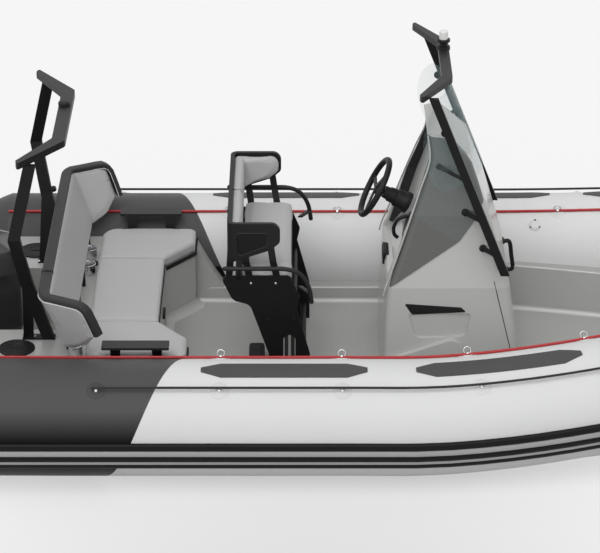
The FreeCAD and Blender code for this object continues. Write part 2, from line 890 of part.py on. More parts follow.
def hull_form():
    half = Part.makeLoft([hull_section(x) for x in HULL_X], True, False)
    return half.fuse(mirrored(half)).removeSplitter()


def make_hull():
    """The hull keeps 0.3 mm to the tube that it carries, and is open above the cockpit."""
    wide = 2 * d.tube_spacing
    cockpit = block(-10.0, d.bow_deck_x, -wide / 2, wide / 2, d.hull_top, d.bow_deck_underside + 10.0)
    locker = block(d.bow_locker_aft, d.bow_locker_front, -d.bow_locker_half_width,
                   d.bow_locker_half_width, d.bow_locker_floor, d.bow_deck_underside + 10.0)
    feature("hull", hull_form().cut(TUBE_CLEAR).cut(cockpit).cut(locker))


def make_bow_deck():
    """The fore deck over the bow locker, fitted between the tubes."""
    stations = [d.bow_deck_x, 3600.0, 3900.0, 4200.0, 4450.0]
    lower, upper = d.bow_deck_underside, d.bow_deck_top
    sections = []
    for x in stations:
        edge = half_breadth(x)
        points = [Vector(x, -edge, lower), Vector(x, edge, lower),
                  Vector(x, edge, upper), Vector(x, -edge, upper)]
        sections.append(Part.makePolygon(points + points[:1]))
    deck = Part.makeLoft(sections, True, False).cut(TUBE_CLEAR)
    hatch = block(d.bow_locker_aft, d.bow_locker_front, -d.bow_locker_half_width,
                  d.bow_locker_half_width, lower - 10.0, upper + 10.0)
    feature("bow_deck", deck.cut(hatch))


def make_bow_lid():
    aft, front = "bow_locker_aft - bow_lid_margin", "bow_locker_front + bow_lid_margin"
    half = "bow_locker_half_width + bow_lid_margin"
    corners = [(aft, f"-({half})"), (front, f"-({half})"), (front, half), (aft, half)]
    body = new_body("bow_locker_lid")
    sketch = add_pad(body, "bow_lid_board", "XY_Plane", "bow_deck_top", "bow_lid_thickness", corners)[1]
    add_rounding(body, "bow_lid_corners", sketch, range(4), "bow_lid_corner")


# Cockpit liner

def sole_edge(x):
    """Half-width of the sole, which follows the tube into the bow."""
    forward = max(x - d.bow_start, 0.0) / 1000.0
    return half_breadth(x) - d.sole_inset - d.sole_inset_bow * forward


def flange_top(x):
    share = min(max((x - d.flange_rise_from) / (d.flange_rise_to - d.flange_rise_from), 0.0), 1.0)
    smooth = share * share * (3.0 - 2.0 * share)
    return d.flange_height + (d.flange_height_bow - d.flange_height) * smooth


def make_liner():
    """Sole and side flanges in one moulding, under and beside the cockpit."""
    sections = []
    for x in LINER_X:
        edge, foot, top = half_breadth(x), sole_edge(x), flange_top(x)
        lean = d.flange_lean * (top - d.sole_height) / (d.flange_height - d.sole_height)
        outline = [Vector(x, -edge, d.hull_top), Vector(x, edge, d.hull_top), Vector(x, edge, top),
                   Vector(x, foot + lean, top), Vector(x, foot, d.sole_height),
                   Vector(x, -foot, d.sole_height), Vector(x, -foot - lean, top),
                   Vector(x, -edge, top)]
        sections.append(Part.makePolygon(outline + outline[:1]))
    cockpit = Part.makeLoft(sections, True, True).cut(TUBE_CLEAR)
    aft = block(0.0, LINER_X[0], -d.tube_spacing, d.tube_spacing, d.hull_top, d.sole_height)
    feature("deck_liner", joined([cockpit, aft.cut(TUBE_CLEAR)]))


# Stern moulding

def make_stern_moulding():
    """Side decks, engine well and the locker that carries the bench."""
    front, wing = d.bench_front, d.bench_wing_front
    centre, corner = d.bench_centre_half_width, d.bench_corner_half_width
    outer = d.tube_spacing
    points = [(0, -outer), (wing, -outer), (wing, -corner), (front, -centre),
              (front, centre), (wing, corner), (wing, outer), (0, outer)]
    deck = upright(points, 0, d.sole_height, d.stern_deck_height)
    ramp = sideways([(wing, d.flange_height), (d.ramp_front, d.flange_height),
                     (wing, d.stern_deck_height)], 0, sole_edge(wing) + d.flange_lean, outer)
    well = block(d.transom_thickness, d.well_front, -d.well_half_width, d.well_half_width,
                 d.sole_height - 1.0, d.stern_deck_height + 1.0)
    notch = block(-1.0, d.transom_thickness, -d.well_half_width, d.well_half_width,
                  d.transom_height, d.stern_deck_height + 1.0)
    locker = block(d.locker_aft, front - d.locker_wall, -d.locker_half_width, d.locker_half_width,
                   d.locker_floor, d.stern_deck_height + 1.0)
    moulding = joined([deck, ramp, mirrored(ramp)])
    feature("stern_moulding", moulding.cut(TUBE_CLEAR).cut(well).cut(notch).cut(locker))


def make_deck_caps():
    """Round covers of the tanks under the side decks."""
    caps = []
    for side, y in (("port", "deck_cap_y"), ("starboard", "-deck_cap_y")):
        caps.append(add_cylinder(f"deck_cap_{side}", "deck_cap_radius", "deck_cap_height",
                                 "deck_cap_x", y, "stern_deck_height"))
    pair = doc.addObject("Part::Compound", "deck_caps")
    pair.Links = caps
    doc.recompute()
    keep(pair, "deck_caps")


# Bench

def make_bench_lid():
    """Board of the locker lid, and the centre cushion that lifts with it."""
    half, front = "bench_centre_half_width - bench_joint", "bench_front + bench_overhang"
    corners = [("bench_aft", f"-({half})"), (front, f"-({half})"), (front, half), ("bench_aft", half)]
    cushion_bottom = "stern_deck_height + lid_board + skin_clearance"
    for label, start, length in (("bench_lid", "stern_deck_height", "lid_board"),
                                 ("bench_cushion_centre", cushion_bottom,
                                  f"bench_top - ({cushion_bottom})")):
        body = new_body(label)
        sketch = add_pad(body, f"{label}_block", "XY_Plane", start, length, corners)[1]
        add_rounding(body, f"{label}_corners", sketch, range(4), "cushion_corner")


def make_side_cushions():
    """The two outer cushions widen forward, round the corner of the moulding."""
    inner, front = "bench_centre_half_width + bench_joint", "bench_front + bench_overhang"
    wing = "bench_wing_front + bench_overhang"
    corners = [("bench_aft", inner), (front, inner), (wing, "bench_corner_half_width"),
               (wing, "bench_half_width"), ("bench_aft", "bench_half_width")]
    body = new_body("bench_cushions_side")
    start = "stern_deck_height + skin_clearance"
    pad, sketch = add_pad(body, "side_cushion", "XY_Plane", start, f"bench_top - ({start})", corners)
    add_mirror(body, "side_cushion_pair", [pad])
    add_rounding(body, "side_cushion_joints", sketch, [0, 1, 2], "cushion_corner")
    add_rounding(body, "side_cushion_front", sketch, [3], "bench_front_corner")
    add_rounding(body, "side_cushion_aft", sketch, [4], "bench_aft_corner")


def wrap_section(aft, half, wing_x, wing_y, thickness, height, round_off):
    """Plan of a backrest that wraps round to wings on both sides."""
    dx, dy = wing_x - aft, wing_y - half
    length = math.hypot(dx, dy)
    across_x, across_y = thickness * dy / length, -thickness * dx / length
    inner_x = aft + thickness
    inner_half = half + thickness * (1.0 + dy / length) * dy / dx - thickness * length / dx
    points = [(wing_x, wing_y), (aft, half), (aft, -half), (wing_x, -wing_y),
              (wing_x + across_x, -wing_y - across_y), (inner_x, -inner_half),
              (inner_x, inner_half), (wing_x + across_x, wing_y + across_y)]
    tip = min(round_off / 3, thickness * 0.4)
    radii = [tip, round_off, round_off, tip, tip, round_off / 2, round_off / 2, tip]
    return level_outline(points, radii, height)


def make_backrest():
    """Upright wrap-round cushion whose wings end in a blunt point."""
    def section(share):
        height = d.backrest_bottom + (d.backrest_top - d.backrest_bottom) * share
        aft = d.backrest_aft_low + (d.backrest_aft_high - d.backrest_aft_low) * share
        half = d.backrest_half_low + (d.backrest_half_high - d.backrest_half_low) * share
        wing_x = d.backrest_wing_x_low + (d.backrest_wing_x_high - d.backrest_wing_x_low) * share
        wing_y = d.backrest_wing_y_low + (d.backrest_wing_y_high - d.backrest_wing_y_low) * share
        return wrap_section(aft, half, wing_x, wing_y, d.backrest_thickness, height, d.backrest_corner)
    wrap = Part.makeLoft([section(0.0), section(1.0)], True, True)
    back, low, high = d.backrest_aft_high - 50.0, d.backrest_bottom, d.backrest_top
    outline = [(back, low), (d.backrest_aft_low + d.backrest_thickness, low),
               (d.wing_low_x, d.wing_low_z), (d.wing_tip_x, d.wing_tip_z),
               (d.wing_shoulder_x, d.wing_shoulder_z), (d.wing_top_x, high), (back, high)]
    radii = [0.0, 30.0, 60.0, 12.0, 40.0, 40.0, 0.0]
    side_view = sideways(outline, radii, -d.tube_spacing, d.tube_spacing)
    feature("bench_backrest", wrap.common(side_view))


def make_backrest_brackets():
    """Four black brackets that carry the backrest on the moulding."""
    back, foot, head = "backrest_aft_low", "stern_deck_height", "backrest_bottom"
    corners = [(back, foot), (f"{back} + bracket_foot", foot),
               (f"{back} + bracket_foot - bracket_taper", head), (f"{back} + 2 * bracket_taper", head)]
    body = new_body("backrest_brackets")
    pads = []
    for name, y in (("inner", "bracket_inner_y"), ("outer", "bracket_outer_y")):
        pads.append(add_pad(body, f"bracket_{name}", "XZ_Plane", f"{y} - bracket_width / 2",
                            "bracket_width", corners)[0])
    add_mirror(body, "bracket_pairs", pads)


def make_grab_rails():
    """A flat rail on two tapered legs beside each end of the bench."""
    under, foot = "rail_top - rail_thickness", "stern_deck_height"
    body = new_body("bench_grab_rails")
    corners = [("rail_aft", "rail_inner_y"), ("rail_front", "rail_inner_y"),
               ("rail_front", "rail_outer_y"), ("rail_aft", "rail_outer_y")]
    plate, sketch = add_pad(body, "rail_plate", "XY_Plane", under, "rail_thickness", corners)
    pads = [plate]
    starts = (("aft", "rail_aft + rail_leg_inset"), ("front", "rail_front - rail_leg_inset - rail_leg"))
    for name, start in starts:
        profile = [(start, under), (f"{start} + rail_leg_taper", foot),
                   (f"{start} + rail_leg - rail_leg_taper", foot), (f"{start} + rail_leg", under)]
        outer = "-(rail_inner_y + rail_leg_plate)"
        pads.append(add_pad(body, f"rail_leg_{name}", "XZ_Plane", outer, "rail_leg_plate", profile)[0])
    add_mirror(body, "rail_pair", pads)
    add_rounding(body, "rail_corners", sketch, range(4), "rail_corner")


# Roll bar

def make_roll_bar():
    """Two forked legs and a flat crossbar whose ends sweep aft to points."""
    width, depth = d.roll_leg_width, d.roll_leg_depth
    foot = d.stern_deck_height
    base_top = foot + d.roll_base_height
    head = (d.roll_head_x, d.roll_head_y, d.roll_bar_z)
    kink = (d.roll_kink_x, d.roll_kink_y, d.roll_kink_z)
    fork = (d.roll_fork_x, d.roll_fork_y, d.roll_fork_z)
    front = bent_bar([(d.roll_foot_front_x, d.roll_foot_y, foot), fork, kink, head], width, depth)
    rear = bent_bar([(d.roll_foot_aft_x, d.roll_foot_y, foot), fork], width * 0.8, depth)
    base = block(d.roll_foot_aft_x - width / 2, d.roll_foot_front_x + width / 2,
                 d.roll_foot_y - depth, d.roll_foot_y + depth / 2, foot, base_top)
    feature("roll_bar_legs", both_sides(joined([front, rear, base])))
    feature("roll_bar_crossbar", swept_crossbar(d.roll_tip_x, d.roll_tip_y, d.roll_bend_x,
                                                d.roll_bend_y, d.roll_bar_width, d.roll_bar_z,
                                                d.roll_bar_thickness))


def swept_crossbar(tip_x, tip_y, bend_x, bend_y, width, bottom, thickness):
    """A flat bar across the boat whose ends sweep aft and narrow to points."""
    points = [(tip_x, tip_y), (bend_x, bend_y), (bend_x, -bend_y), (tip_x, -tip_y),
              (tip_x - 10.0, -tip_y + 40.0), (bend_x - width, -bend_y + width * 0.4),
              (bend_x - width, bend_y - width * 0.4), (tip_x - 10.0, tip_y - 40.0)]
    radii = [8.0, 50.0, 50.0, 8.0, 8.0, 40.0, 40.0, 8.0]
    return upright(points, radii, bottom, bottom + thickness)


# Helm seat

def make_helm_plates():
    """Two cut-out side plates that stand on the sole and lean forward to their feet."""
    foot_aft = "helm_foot_front - helm_foot_length"
    corners = [("helm_aft", "helm_top_z"), ("helm_aft + helm_top_length", "helm_top_z"),
               ("helm_brow_x", "helm_brow_z"), ("helm_chin_x", "helm_chin_z"),
               ("helm_foot_front", "helm_foot_top"), ("helm_foot_front", "sole_height"),
               (foot_aft, "sole_height"), (foot_aft, "helm_foot_top"),
               ("helm_waist_x", "helm_waist_z"), ("helm_tail_x", "helm_tail_z")]
    slot_aft = "helm_foot_front - (helm_foot_length + helm_slot_length) / 2"
    slot_front = "helm_foot_front - (helm_foot_length - helm_slot_length) / 2"
    slot = [(slot_aft, "helm_slot_low"), (slot_front, "helm_slot_low"),
            (slot_front, "helm_slot_high"), (slot_aft, "helm_slot_high")]
    body = new_body("helm_side_plates")
    pad, sketch = add_pad(body, "helm_plate_blank", "XZ_Plane", "helm_plate_y", "helm_plate", corners)
    solid = pad.Shape.Volume
    opening = add_sketch(body, "helm_slot_outline", "XZ_Plane", "helm_plate_y", slot)
    pocket = body.newObject("PartDesign::Pocket", "helm_slot")
    pocket.Profile = opening
    pocket.Type = "ThroughAll"
    pocket.Midplane = True
    doc.recompute()
    if pocket.Shape.Volume > solid - 1.0:
        raise RuntimeError("the slot in the helm plate cuts nothing")
    add_mirror(body, "helm_plate_pair", [pad, pocket])
    add_rounding(body, "helm_plate_top_corners", sketch, [0, 1, 2, 3], "helm_top_corner")
    add_rounding(body, "helm_plate_bends", sketch, [4, 7, 8, 9], "helm_bend_corner")
    add_rounding(body, "helm_slot_ends", opening, range(4), "helm_slot_corner")


def make_helm_frame():
    """Seat pan between the side plates, with the tubes and the foot plate that brace them."""
    width = ("-helm_plate_y", "helm_plate_y")
    parts = [add_box("helm_pan", ("helm_cushion_aft - helm_pan_ledge", "helm_cushion_front"), width,
                     ("helm_tray_z", "helm_tray_z + helm_tray"))]
    places = (("aft", "helm_tube_aft_x", "helm_tube_z"), ("front", "helm_tube_front_x", "helm_tube_z"),
              ("low", "helm_tube_low_x", "helm_tube_low_z"))
    for name, x, z in places:
        tube = add_cylinder(f"helm_tube_{name}", "helm_tube_radius", "2 * helm_plate_y", x,
                            "helm_plate_y", z)
        tube.Placement.Rotation = Rotation(Vector(1, 0, 0), 90)
        parts.append(tube)
    frame = doc.addObject("Part::Compound", "helm_seat_frame")
    frame.Links = parts
    doc.recompute()
    keep(frame, "helm_seat_frame")
    rest = add_box("helm_footrest", ("footrest_aft", "footrest_front"),
                   ("-helm_plate_y", "-footrest_inner"), ("sole_height", "footrest_top"))
    keep(rest, "helm_footrest")


def make_helm_cushion():
    half = "helm_plate_y - helm_cushion_margin"
    corners = [("helm_cushion_aft", f"-({half})"), ("helm_cushion_front", f"-({half})"),
               ("helm_cushion_front", half), ("helm_cushion_aft", half)]
    bottom = "helm_tray_z + helm_tray + skin_clearance"
    body = new_body("helm_seat_cushion")
    sketch = add_pad(body, "helm_cushion_block", "XY_Plane", bottom, f"helm_cushion_top - ({bottom})",
                     corners)[1]
    add_rounding(body, "helm_cushion_corners", sketch, range(4), "helm_cushion_corner")


def helm_wrap(inset, thickness, bottom, top):
    half = d.helm_back_half - inset
    aft = d.helm_back_x + inset
    sections = [wrap_section(aft, half, d.helm_wing_x, half + 0.5, thickness, height, 40.0 - inset / 2)
                for height in (bottom, top)]
    return Part.makeLoft(sections, True, True)


def wing_view(inset):
    """Side view of the wings: the underside rises forward to a round end."""
    low, high = d.helm_back_bottom, d.helm_back_top - inset
    front = d.helm_wing_front - inset
    aft = d.helm_back_x - 40.0
    points = [(aft, low + inset), (d.helm_back_x + 30.0, low + inset),
              (front - 45.0, d.helm_wing_under + inset), (front, d.helm_wing_under + 40.0 + inset),
              (front, high), (aft, high)]
    radii = [0.0, 25.0, 40.0, 30.0, d.helm_wing_round, 0.0]
    return sideways(points, radii, -d.helm_back_half - 10.0, d.helm_back_half + 10.0)


def make_helm_back():
    """Black wrap-round backrest, its two pads and the flat struts that carry it."""
    back = helm_wrap(0.0, d.helm_wrap_thickness, d.helm_back_bottom, d.helm_back_top)
    back = back.common(wing_view(0.0))
    struts = []
    for x_foot, x_head in ((1152.0, 1166.0), (1250.0, 1224.0), (1385.0, 1352.0)):
        y = d.helm_back_half - d.helm_wrap_thickness / 2
        foot_y = d.helm_plate_y + d.helm_plate / 2
        knee = (x_foot + (x_head - x_foot) / 2, y, d.helm_back_bottom - 5.0)
        head_z = d.helm_back_top - 90.0
        struts.append(bent_bar([(x_foot, foot_y, d.helm_top_z), knee, (x_head, y, head_z)], 34.0, 8.0))
    struts += [mirrored(strut) for strut in struts]
    feature("helm_backrest", joined([back] + struts))
    gap = d.helm_wrap_thickness + d.skin_clearance
    pads = helm_wrap(gap, d.helm_pad, d.helm_back_bottom, d.helm_back_top)
    split = block(d.helm_back_x, d.helm_wing_x, -d.helm_pad_joint / 2, d.helm_pad_joint / 2,
                  d.helm_back_bottom, d.helm_back_top)
    feature("helm_backrest_pads", pads.cut(split).common(wing_view(10.0)))


def make_arm_rails():
    y = d.arm_y
    rail = bent_rod([(d.arm_aft_x, y, d.arm_high), (d.arm_bend_x, y, d.arm_high),
                     (d.arm_front_x, y, d.arm_low)], 70.0, d.arm_radius)
    outer = d.helm_plate_y + d.helm_plate
    inboard = block(1000.0, 1700.0, 0.0, outer, 500.0, 1000.0)
    clips = [rod((1200.0, outer - 20.0, 762.0), (1200.0, y, d.arm_high), 8.0).cut(inboard),
             rod((1485.0, outer - 20.0, 675.0), (1514.0, y, 750.0), 8.0).cut(inboard)]
    feature("helm_arm_rails", both_sides(joined([rail] + clips)))


# Console

def console_form(grow):
    """The console's outer form: level sections that lean in towards the peak."""
    levels = [(d.sole_height, d.console_foot_aft, d.console_foot_front, d.console_foot_half),
              (d.console_waist_z, d.console_waist_aft, d.console_waist_front, d.console_waist_half),
              (d.console_chest_z, d.console_chest_aft, d.console_chest_front, d.console_chest_half),
              (d.console_neck_z, d.console_neck_aft, d.console_neck_front, d.console_neck_half),
              (d.console_peak_z, d.console_peak_aft, d.console_peak_front, d.console_peak_half)]
    sections = []
    for height, aft, front, half in levels:
        wide = half + grow
        points = [(aft, -wide), (front, -wide), (front, wide), (aft, wide)]
        sections.append(level_outline(points, d.console_corner, height))
    return Part.makeLoft(sections, True, True)


def dash_recess():
    """The space between the side walls, in front of the sloping dash."""
    half = d.console_chest_half - d.dash_wall
    profile = [(1700.0, d.dash_low - 60.0), (d.console_waist_aft + 40.0, d.dash_low - 10.0),
               (d.console_waist_aft + d.dash_depth, d.dash_low + 60.0),
               (d.console_neck_aft + d.dash_depth * 0.6, d.dash_high),
               (1700.0, d.dash_high + 40.0)]
    low = sideways(profile, 0, -half, half)
    narrow = d.console_peak_half - d.dash_wall
    roof = d.console_chest_z
    upper = block(1600.0, 2600.0, -d.console_foot_half, d.console_foot_half, roof, 1600.0)
    lean = math.degrees(math.atan2(half - narrow, d.console_peak_z - roof))
    trim = []
    for side in (1, -1):
        cutter = block(1600.0, 2600.0, 0.0, 400.0, 0.0, 800.0)
        cutter.rotate(Vector(), Vector(1, 0, 0), lean)
        cutter.translate(Vector(0, half, roof))
        trim.append(cutter if side > 0 else mirrored(cutter))
    return low.cut(upper.common(Part.Compound(trim)))


def vent_pocket(grow):
    """Long tapered air slot in each side."""
    low, high = d.vent_z, d.vent_z + d.vent_height
    profile = [(d.vent_aft, high), (d.vent_aft + 40.0, low), (d.vent_front, low + 14.0),
               (d.vent_front - 30.0, low + 42.0)]
    half = d.console_waist_half
    return sideways(profile, 6.0, half - d.vent_depth, half + 60.0 + grow)


def swoosh_prism():
    """Side view of the dark upper panel, from its pointed low end up to the peak."""
    points = [(d.console_waist_aft + 12.0, d.console_waist_z), (2281.0, 935.0), (2360.0, 1045.0),
              (2398.0, 1130.0), (2350.0, 1290.0), (2260.0, 1420.0), (2100.0, 1432.0),
              (2060.0, 1180.0)]
    return sideways(points, 4.0, -900.0, 900.0)


def side_panel_recess():
    """Shallow rounded recess in the side, below the air slot."""
    top = d.vent_z + 9.0
    low = top - d.panel_drop
    profile = [(d.vent_aft + 20.0, top), (d.vent_aft + 57.0, low), (d.vent_front - 2.0, low + 11.0),
               (d.vent_front + 19.0, top)]
    share = (top - d.sole_height) / (d.console_waist_z - d.sole_height)
    side = d.console_foot_half + (d.console_waist_half - d.console_foot_half) * share
    return sideways(profile, [12.0, 40.0, 40.0, 12.0], side - d.panel_depth, side + 60.0)


def side_ledge():
    """Moulded ledge along the foot of the side, where the console meets the sole."""
    floor = d.sole_height
    profile = [(d.ledge_aft, floor), (d.ledge_aft, d.ledge_low), (d.ledge_peak_x, d.ledge_peak_z),
               (d.ledge_front, floor)]
    half = d.console_foot_half
    return sideways(profile, [0.0, 20.0, 60.0, 0.0], half - 60.0, half + d.ledge_reach)


def make_console():
    """Closed moulding with a recess for the dash, air slots, and a ledge along each foot."""
    cuts = [vent_pocket(0.0), side_panel_recess()]
    body = console_form(0.0).cut(dash_recess())
    for cut in cuts:
        body = body.cut(cut).cut(mirrored(cut))
    body = joined([body, side_ledge(), mirrored(side_ledge())])
    feature("console_body", body)
    outer = console_form(d.console_skin + d.skin_clearance)
    skin = outer.cut(console_form(d.skin_clearance)).common(swoosh_prism())
    middle = block(1600.0, 2700.0, -150.0, 150.0, 0.0, 1800.0)
    feature("console_side_panels", skin.cut(middle).cut(dash_recess()))


def make_throttle():
    """Engine control box on the dash, with its lever."""
    y = -205.0
    base = block(2005.0, 2060.0, y - 30.0, y + 30.0, 880.0, 985.0)
    lever = bent_rod([(2008.0, y, 930.0), (1965.0, y, 985.0), (1985.0, y, 1060.0)], 18.0, 9.0)
    knob = rod((1985.0, y - 24.0, 1062.0), (1985.0, y + 24.0, 1062.0), 13.0)
    control = joined([base, lever, knob]).cut(console_form(d.skin_clearance).cut(dash_recess()))
    feature("throttle_control", control)


# Windscreen and frame

def frame_point(z):
    share = (d.frame_top_z - z) / (d.frame_top_z - d.frame_foot_z)
    return d.frame_top_x + (d.frame_foot_x - d.frame_top_x) * share


def frame_standoffs(radius):
    """The short round arms that hold the port rail off the console."""
    arms = []
    for z in STANDOFF_Z:
        x = frame_point(z) - d.frame_width / 4
        arms.append(rod((x, d.console_peak_half - 50.0, z), (x, d.frame_y, z), radius))
    return arms


def make_frame():
    """Two raked rails on stand-offs, and the swept crossbar that joins them."""
    rail = bent_bar([(d.frame_foot_x, d.frame_y, d.frame_foot_z),
                     (d.frame_top_x, d.frame_y, d.frame_top_z)], d.frame_width, d.frame_depth)
    solid = console_form(d.console_skin + 2 * d.skin_clearance)
    side = joined([rail] + [arm.cut(solid) for arm in frame_standoffs(d.standoff_radius)])
    feature("windscreen_frame", both_sides(side))
    feature("windscreen_crossbar", swept_crossbar(d.cross_tip_x, d.cross_tip_y, d.cross_bend_x,
                                                  d.cross_bend_y, d.cross_width, d.cross_z,
                                                  d.cross_thickness))


def make_windscreen():
    """Clear curved sheet between the rails, whose free edges bulge aft."""
    def section(front, height):
        side_x, half = front - d.screen_wrap, d.screen_half
        outer = [Vector(side_x, half, height), Vector(front, 0, height), Vector(side_x, -half, height)]
        thin = d.screen_thickness
        inner = [Vector(side_x, half - thin, height), Vector(front - thin, 0, height),
                 Vector(side_x, thin - half, height)]
        return Part.Wire([Part.Arc(*outer).toShape(), Part.LineSegment(outer[2], inner[2]).toShape(),
                          Part.Arc(*reversed(inner)).toShape(),
                          Part.LineSegment(inner[0], outer[0]).toShape()])
    low, high = d.screen_bottom, d.screen_top
    curved = Part.makeLoft([section(d.screen_front_low, low), section(d.screen_front_high, high)],
                           True, True)
    beyond = d.screen_front_low + 10.0
    edge = Part.Arc(Vector(d.screen_foot_x, 0, low), Vector(d.screen_bulge_x, 0, d.screen_bulge_z),
                    Vector(d.screen_shoulder_x, 0, high)).toShape()
    corners = [Vector(d.screen_shoulder_x, 0, high), Vector(beyond, 0, high), Vector(beyond, 0, low),
               Vector(d.screen_foot_x, 0, low)]
    lines = [Part.LineSegment(start, end).toShape() for start, end in zip(corners, corners[1:])]
    outline = Part.Wire([edge] + lines)
    outline.translate(Vector(0, -d.frame_y, 0))
    side_view = Part.Face(outline).extrude(Vector(0, 2 * d.frame_y, 0))
    screen = curved.common(side_view).cut(console_form(d.console_skin + 2 * d.skin_clearance))
    for stand_off in frame_standoffs(d.standoff_radius + d.skin_clearance):
        screen = screen.cut(stand_off).cut(mirrored(stand_off))
    feature("windscreen", max(screen.Solids, key=lambda solid: solid.Volume))


def make_light():
    """White all-round light in a black holder on the crossbar."""
    base, x = "cross_z + cross_thickness", "cross_bend_x - cross_width / 2"
    holder = add_cylinder("light_holder", "light_radius", "light_holder_height", x, "light_y", base)
    keep(holder, "light_holder")
    body = new_body("navigation_light")
    lamp = body.newObject("PartDesign::AdditiveCylinder", "lamp_glass")
    lamp.setExpression("Radius", tied("lamp_radius"))
    lamp.setExpression("Height", tied("light_height"))
    for place, value in (("x", x), ("y", "light_y"), ("z", f"{base} + light_holder_height")):
        body.setExpression(f"Placement.Base.{place}", tied(value))
    doc.recompute()
    rims = sorted(range(len(lamp.Shape.Edges)), key=lambda index: lamp.Shape.Edges[index].BoundBox.ZMin)
    rounded = body.newObject("PartDesign::Fillet", "lamp_rounding")
    rounded.Base = (lamp, [f"Edge{rims[-1] + 1}"])
    rounded.setExpression("Radius", tied("lamp_rounding"))
    body.Tip = rounded
    doc.recompute()


# Steering wheel

def wheel_frame():
    """Frame with its Z along the wheel's axis, towards the dash."""
    tilt = math.radians(d.wheel_tilt)
    ahead = Vector(math.cos(tilt), 0, -math.sin(tilt))
    return Placement(Vector(d.wheel_x, 0, d.wheel_z), Rotation(Vector(0, 0, 1), ahead))


def make_steering():
    """Rim, three spokes and hub turn on a shaft in the boss on the dash."""
    rim = Part.makeTorus(d.wheel_radius, d.wheel_rim)
    hub = Part.makeCylinder(d.wheel_hub, d.wheel_hub_length, Vector(0, 0, 6.0))
    shaft_end = 6.0 + d.wheel_hub_length + d.boss_gap + 30.0
    shaft = Part.makeCylinder(d.wheel_shaft, shaft_end - 6.0, Vector(0, 0, 6.0))
    parts = [rim, hub, shaft]
    for index in range(3):
        spoke = Part.makeBox(d.wheel_radius, d.wheel_spoke, d.wheel_spoke_thickness)
        spoke.translate(Vector(0, -d.wheel_spoke / 2, 8.0 - d.wheel_spoke_thickness))
        spoke.rotate(Vector(), Vector(0, 0, 1), 90.0 + 120.0 * index)
        parts.append(spoke)
    wheel = joined(parts)
    wheel.Placement = wheel_frame()
    feature("steering_wheel", wheel)
    start = 6.0 + d.wheel_hub_length + d.boss_gap
    boss = Part.makeCone(d.boss_radius * 0.8, d.boss_radius, 320.0, Vector(0, 0, start))
    hole = Part.makeCylinder(d.wheel_shaft + d.wheel_shaft_play, 34.0, Vector(0, 0, start - 1.0))
    boss = boss.cut(hole)
    boss.Placement = wheel_frame()
    console = console_form(d.skin_clearance).cut(dash_recess())
    boss = boss.cut(console)
    nearest = sorted(boss.Solids, key=lambda solid: solid.BoundBox.XMin)[0]
    feature("steering_boss", nearest)


# Outboard engine

def make_clamp():
    """Bracket that hooks over the transom and carries the tilt pin."""
    top = d.transom_height
    low = d.tilt_z - d.clamp_drop
    inner, outer = d.clamp_y, d.clamp_y + d.clamp_plate
    profile = [(0.0, low), (0.0, top), (d.transom_thickness, top), (d.transom_thickness, 142.0),
               (d.transom_thickness + 18.0, 142.0), (d.transom_thickness + 18.0, top + 14.0),
               (d.tilt_x + 26.0, d.tilt_z + 26.0), (d.tilt_x - 26.0, d.tilt_z + 20.0),
               (d.tilt_x - 30.0, d.tilt_z - 30.0), (-30.0, low)]
    arm = sideways(profile, 0, inner, outer)
    pin = rod((d.tilt_x, -outer, d.tilt_z), (d.tilt_x, outer, d.tilt_z), d.tilt_pin)
    feature("engine_clamp", joined([arm, mirrored(arm), pin]))


def make_swivel():
    """Casting on the tilt pin that carries the upright steering tube."""
    half = d.clamp_y - d.swivel_clearance
    ear = rod((d.tilt_x, -half, d.tilt_z), (d.tilt_x, half, d.tilt_z), d.tilt_pin + 14.0)
    web = sideways([(d.tilt_x, d.tilt_z - 24.0), (d.tilt_x, d.tilt_z + 24.0),
                    (d.steer_x, d.steer_top), (d.steer_x, d.steer_bottom),
                    (d.steer_x + 30.0, d.steer_bottom)], 0, -half * 0.55, half * 0.55)
    tube = Part.makeCylinder(d.steer_tube, d.steer_top - d.steer_bottom,
                             Vector(d.steer_x, 0, d.steer_bottom))
    whole = joined([ear, web, tube])
    pin_hole = rod((d.tilt_x, -half - 1.0, d.tilt_z), (d.tilt_x, half + 1.0, d.tilt_z),
                   d.tilt_pin + d.tilt_play)
    king_hole = Part.makeCylinder(d.steer_pin + d.tilt_play, d.steer_top - d.steer_bottom + 2.0,
                                  Vector(d.steer_x, 0, d.steer_bottom - 1.0))
    feature("engine_swivel", whole.cut(pin_hole).cut(king_hole))


def leg_section(front, aft, half, height):
    """Streamlined level section of the leg."""
    points = [(front, 0.0), (front - 40.0, half), (aft, half * 0.25), (aft, -half * 0.25),
              (front - 40.0, -half)]
    return level_outline(points, [half * 0.3, half * 0.6, 3.0, 3.0, half * 0.6], height)


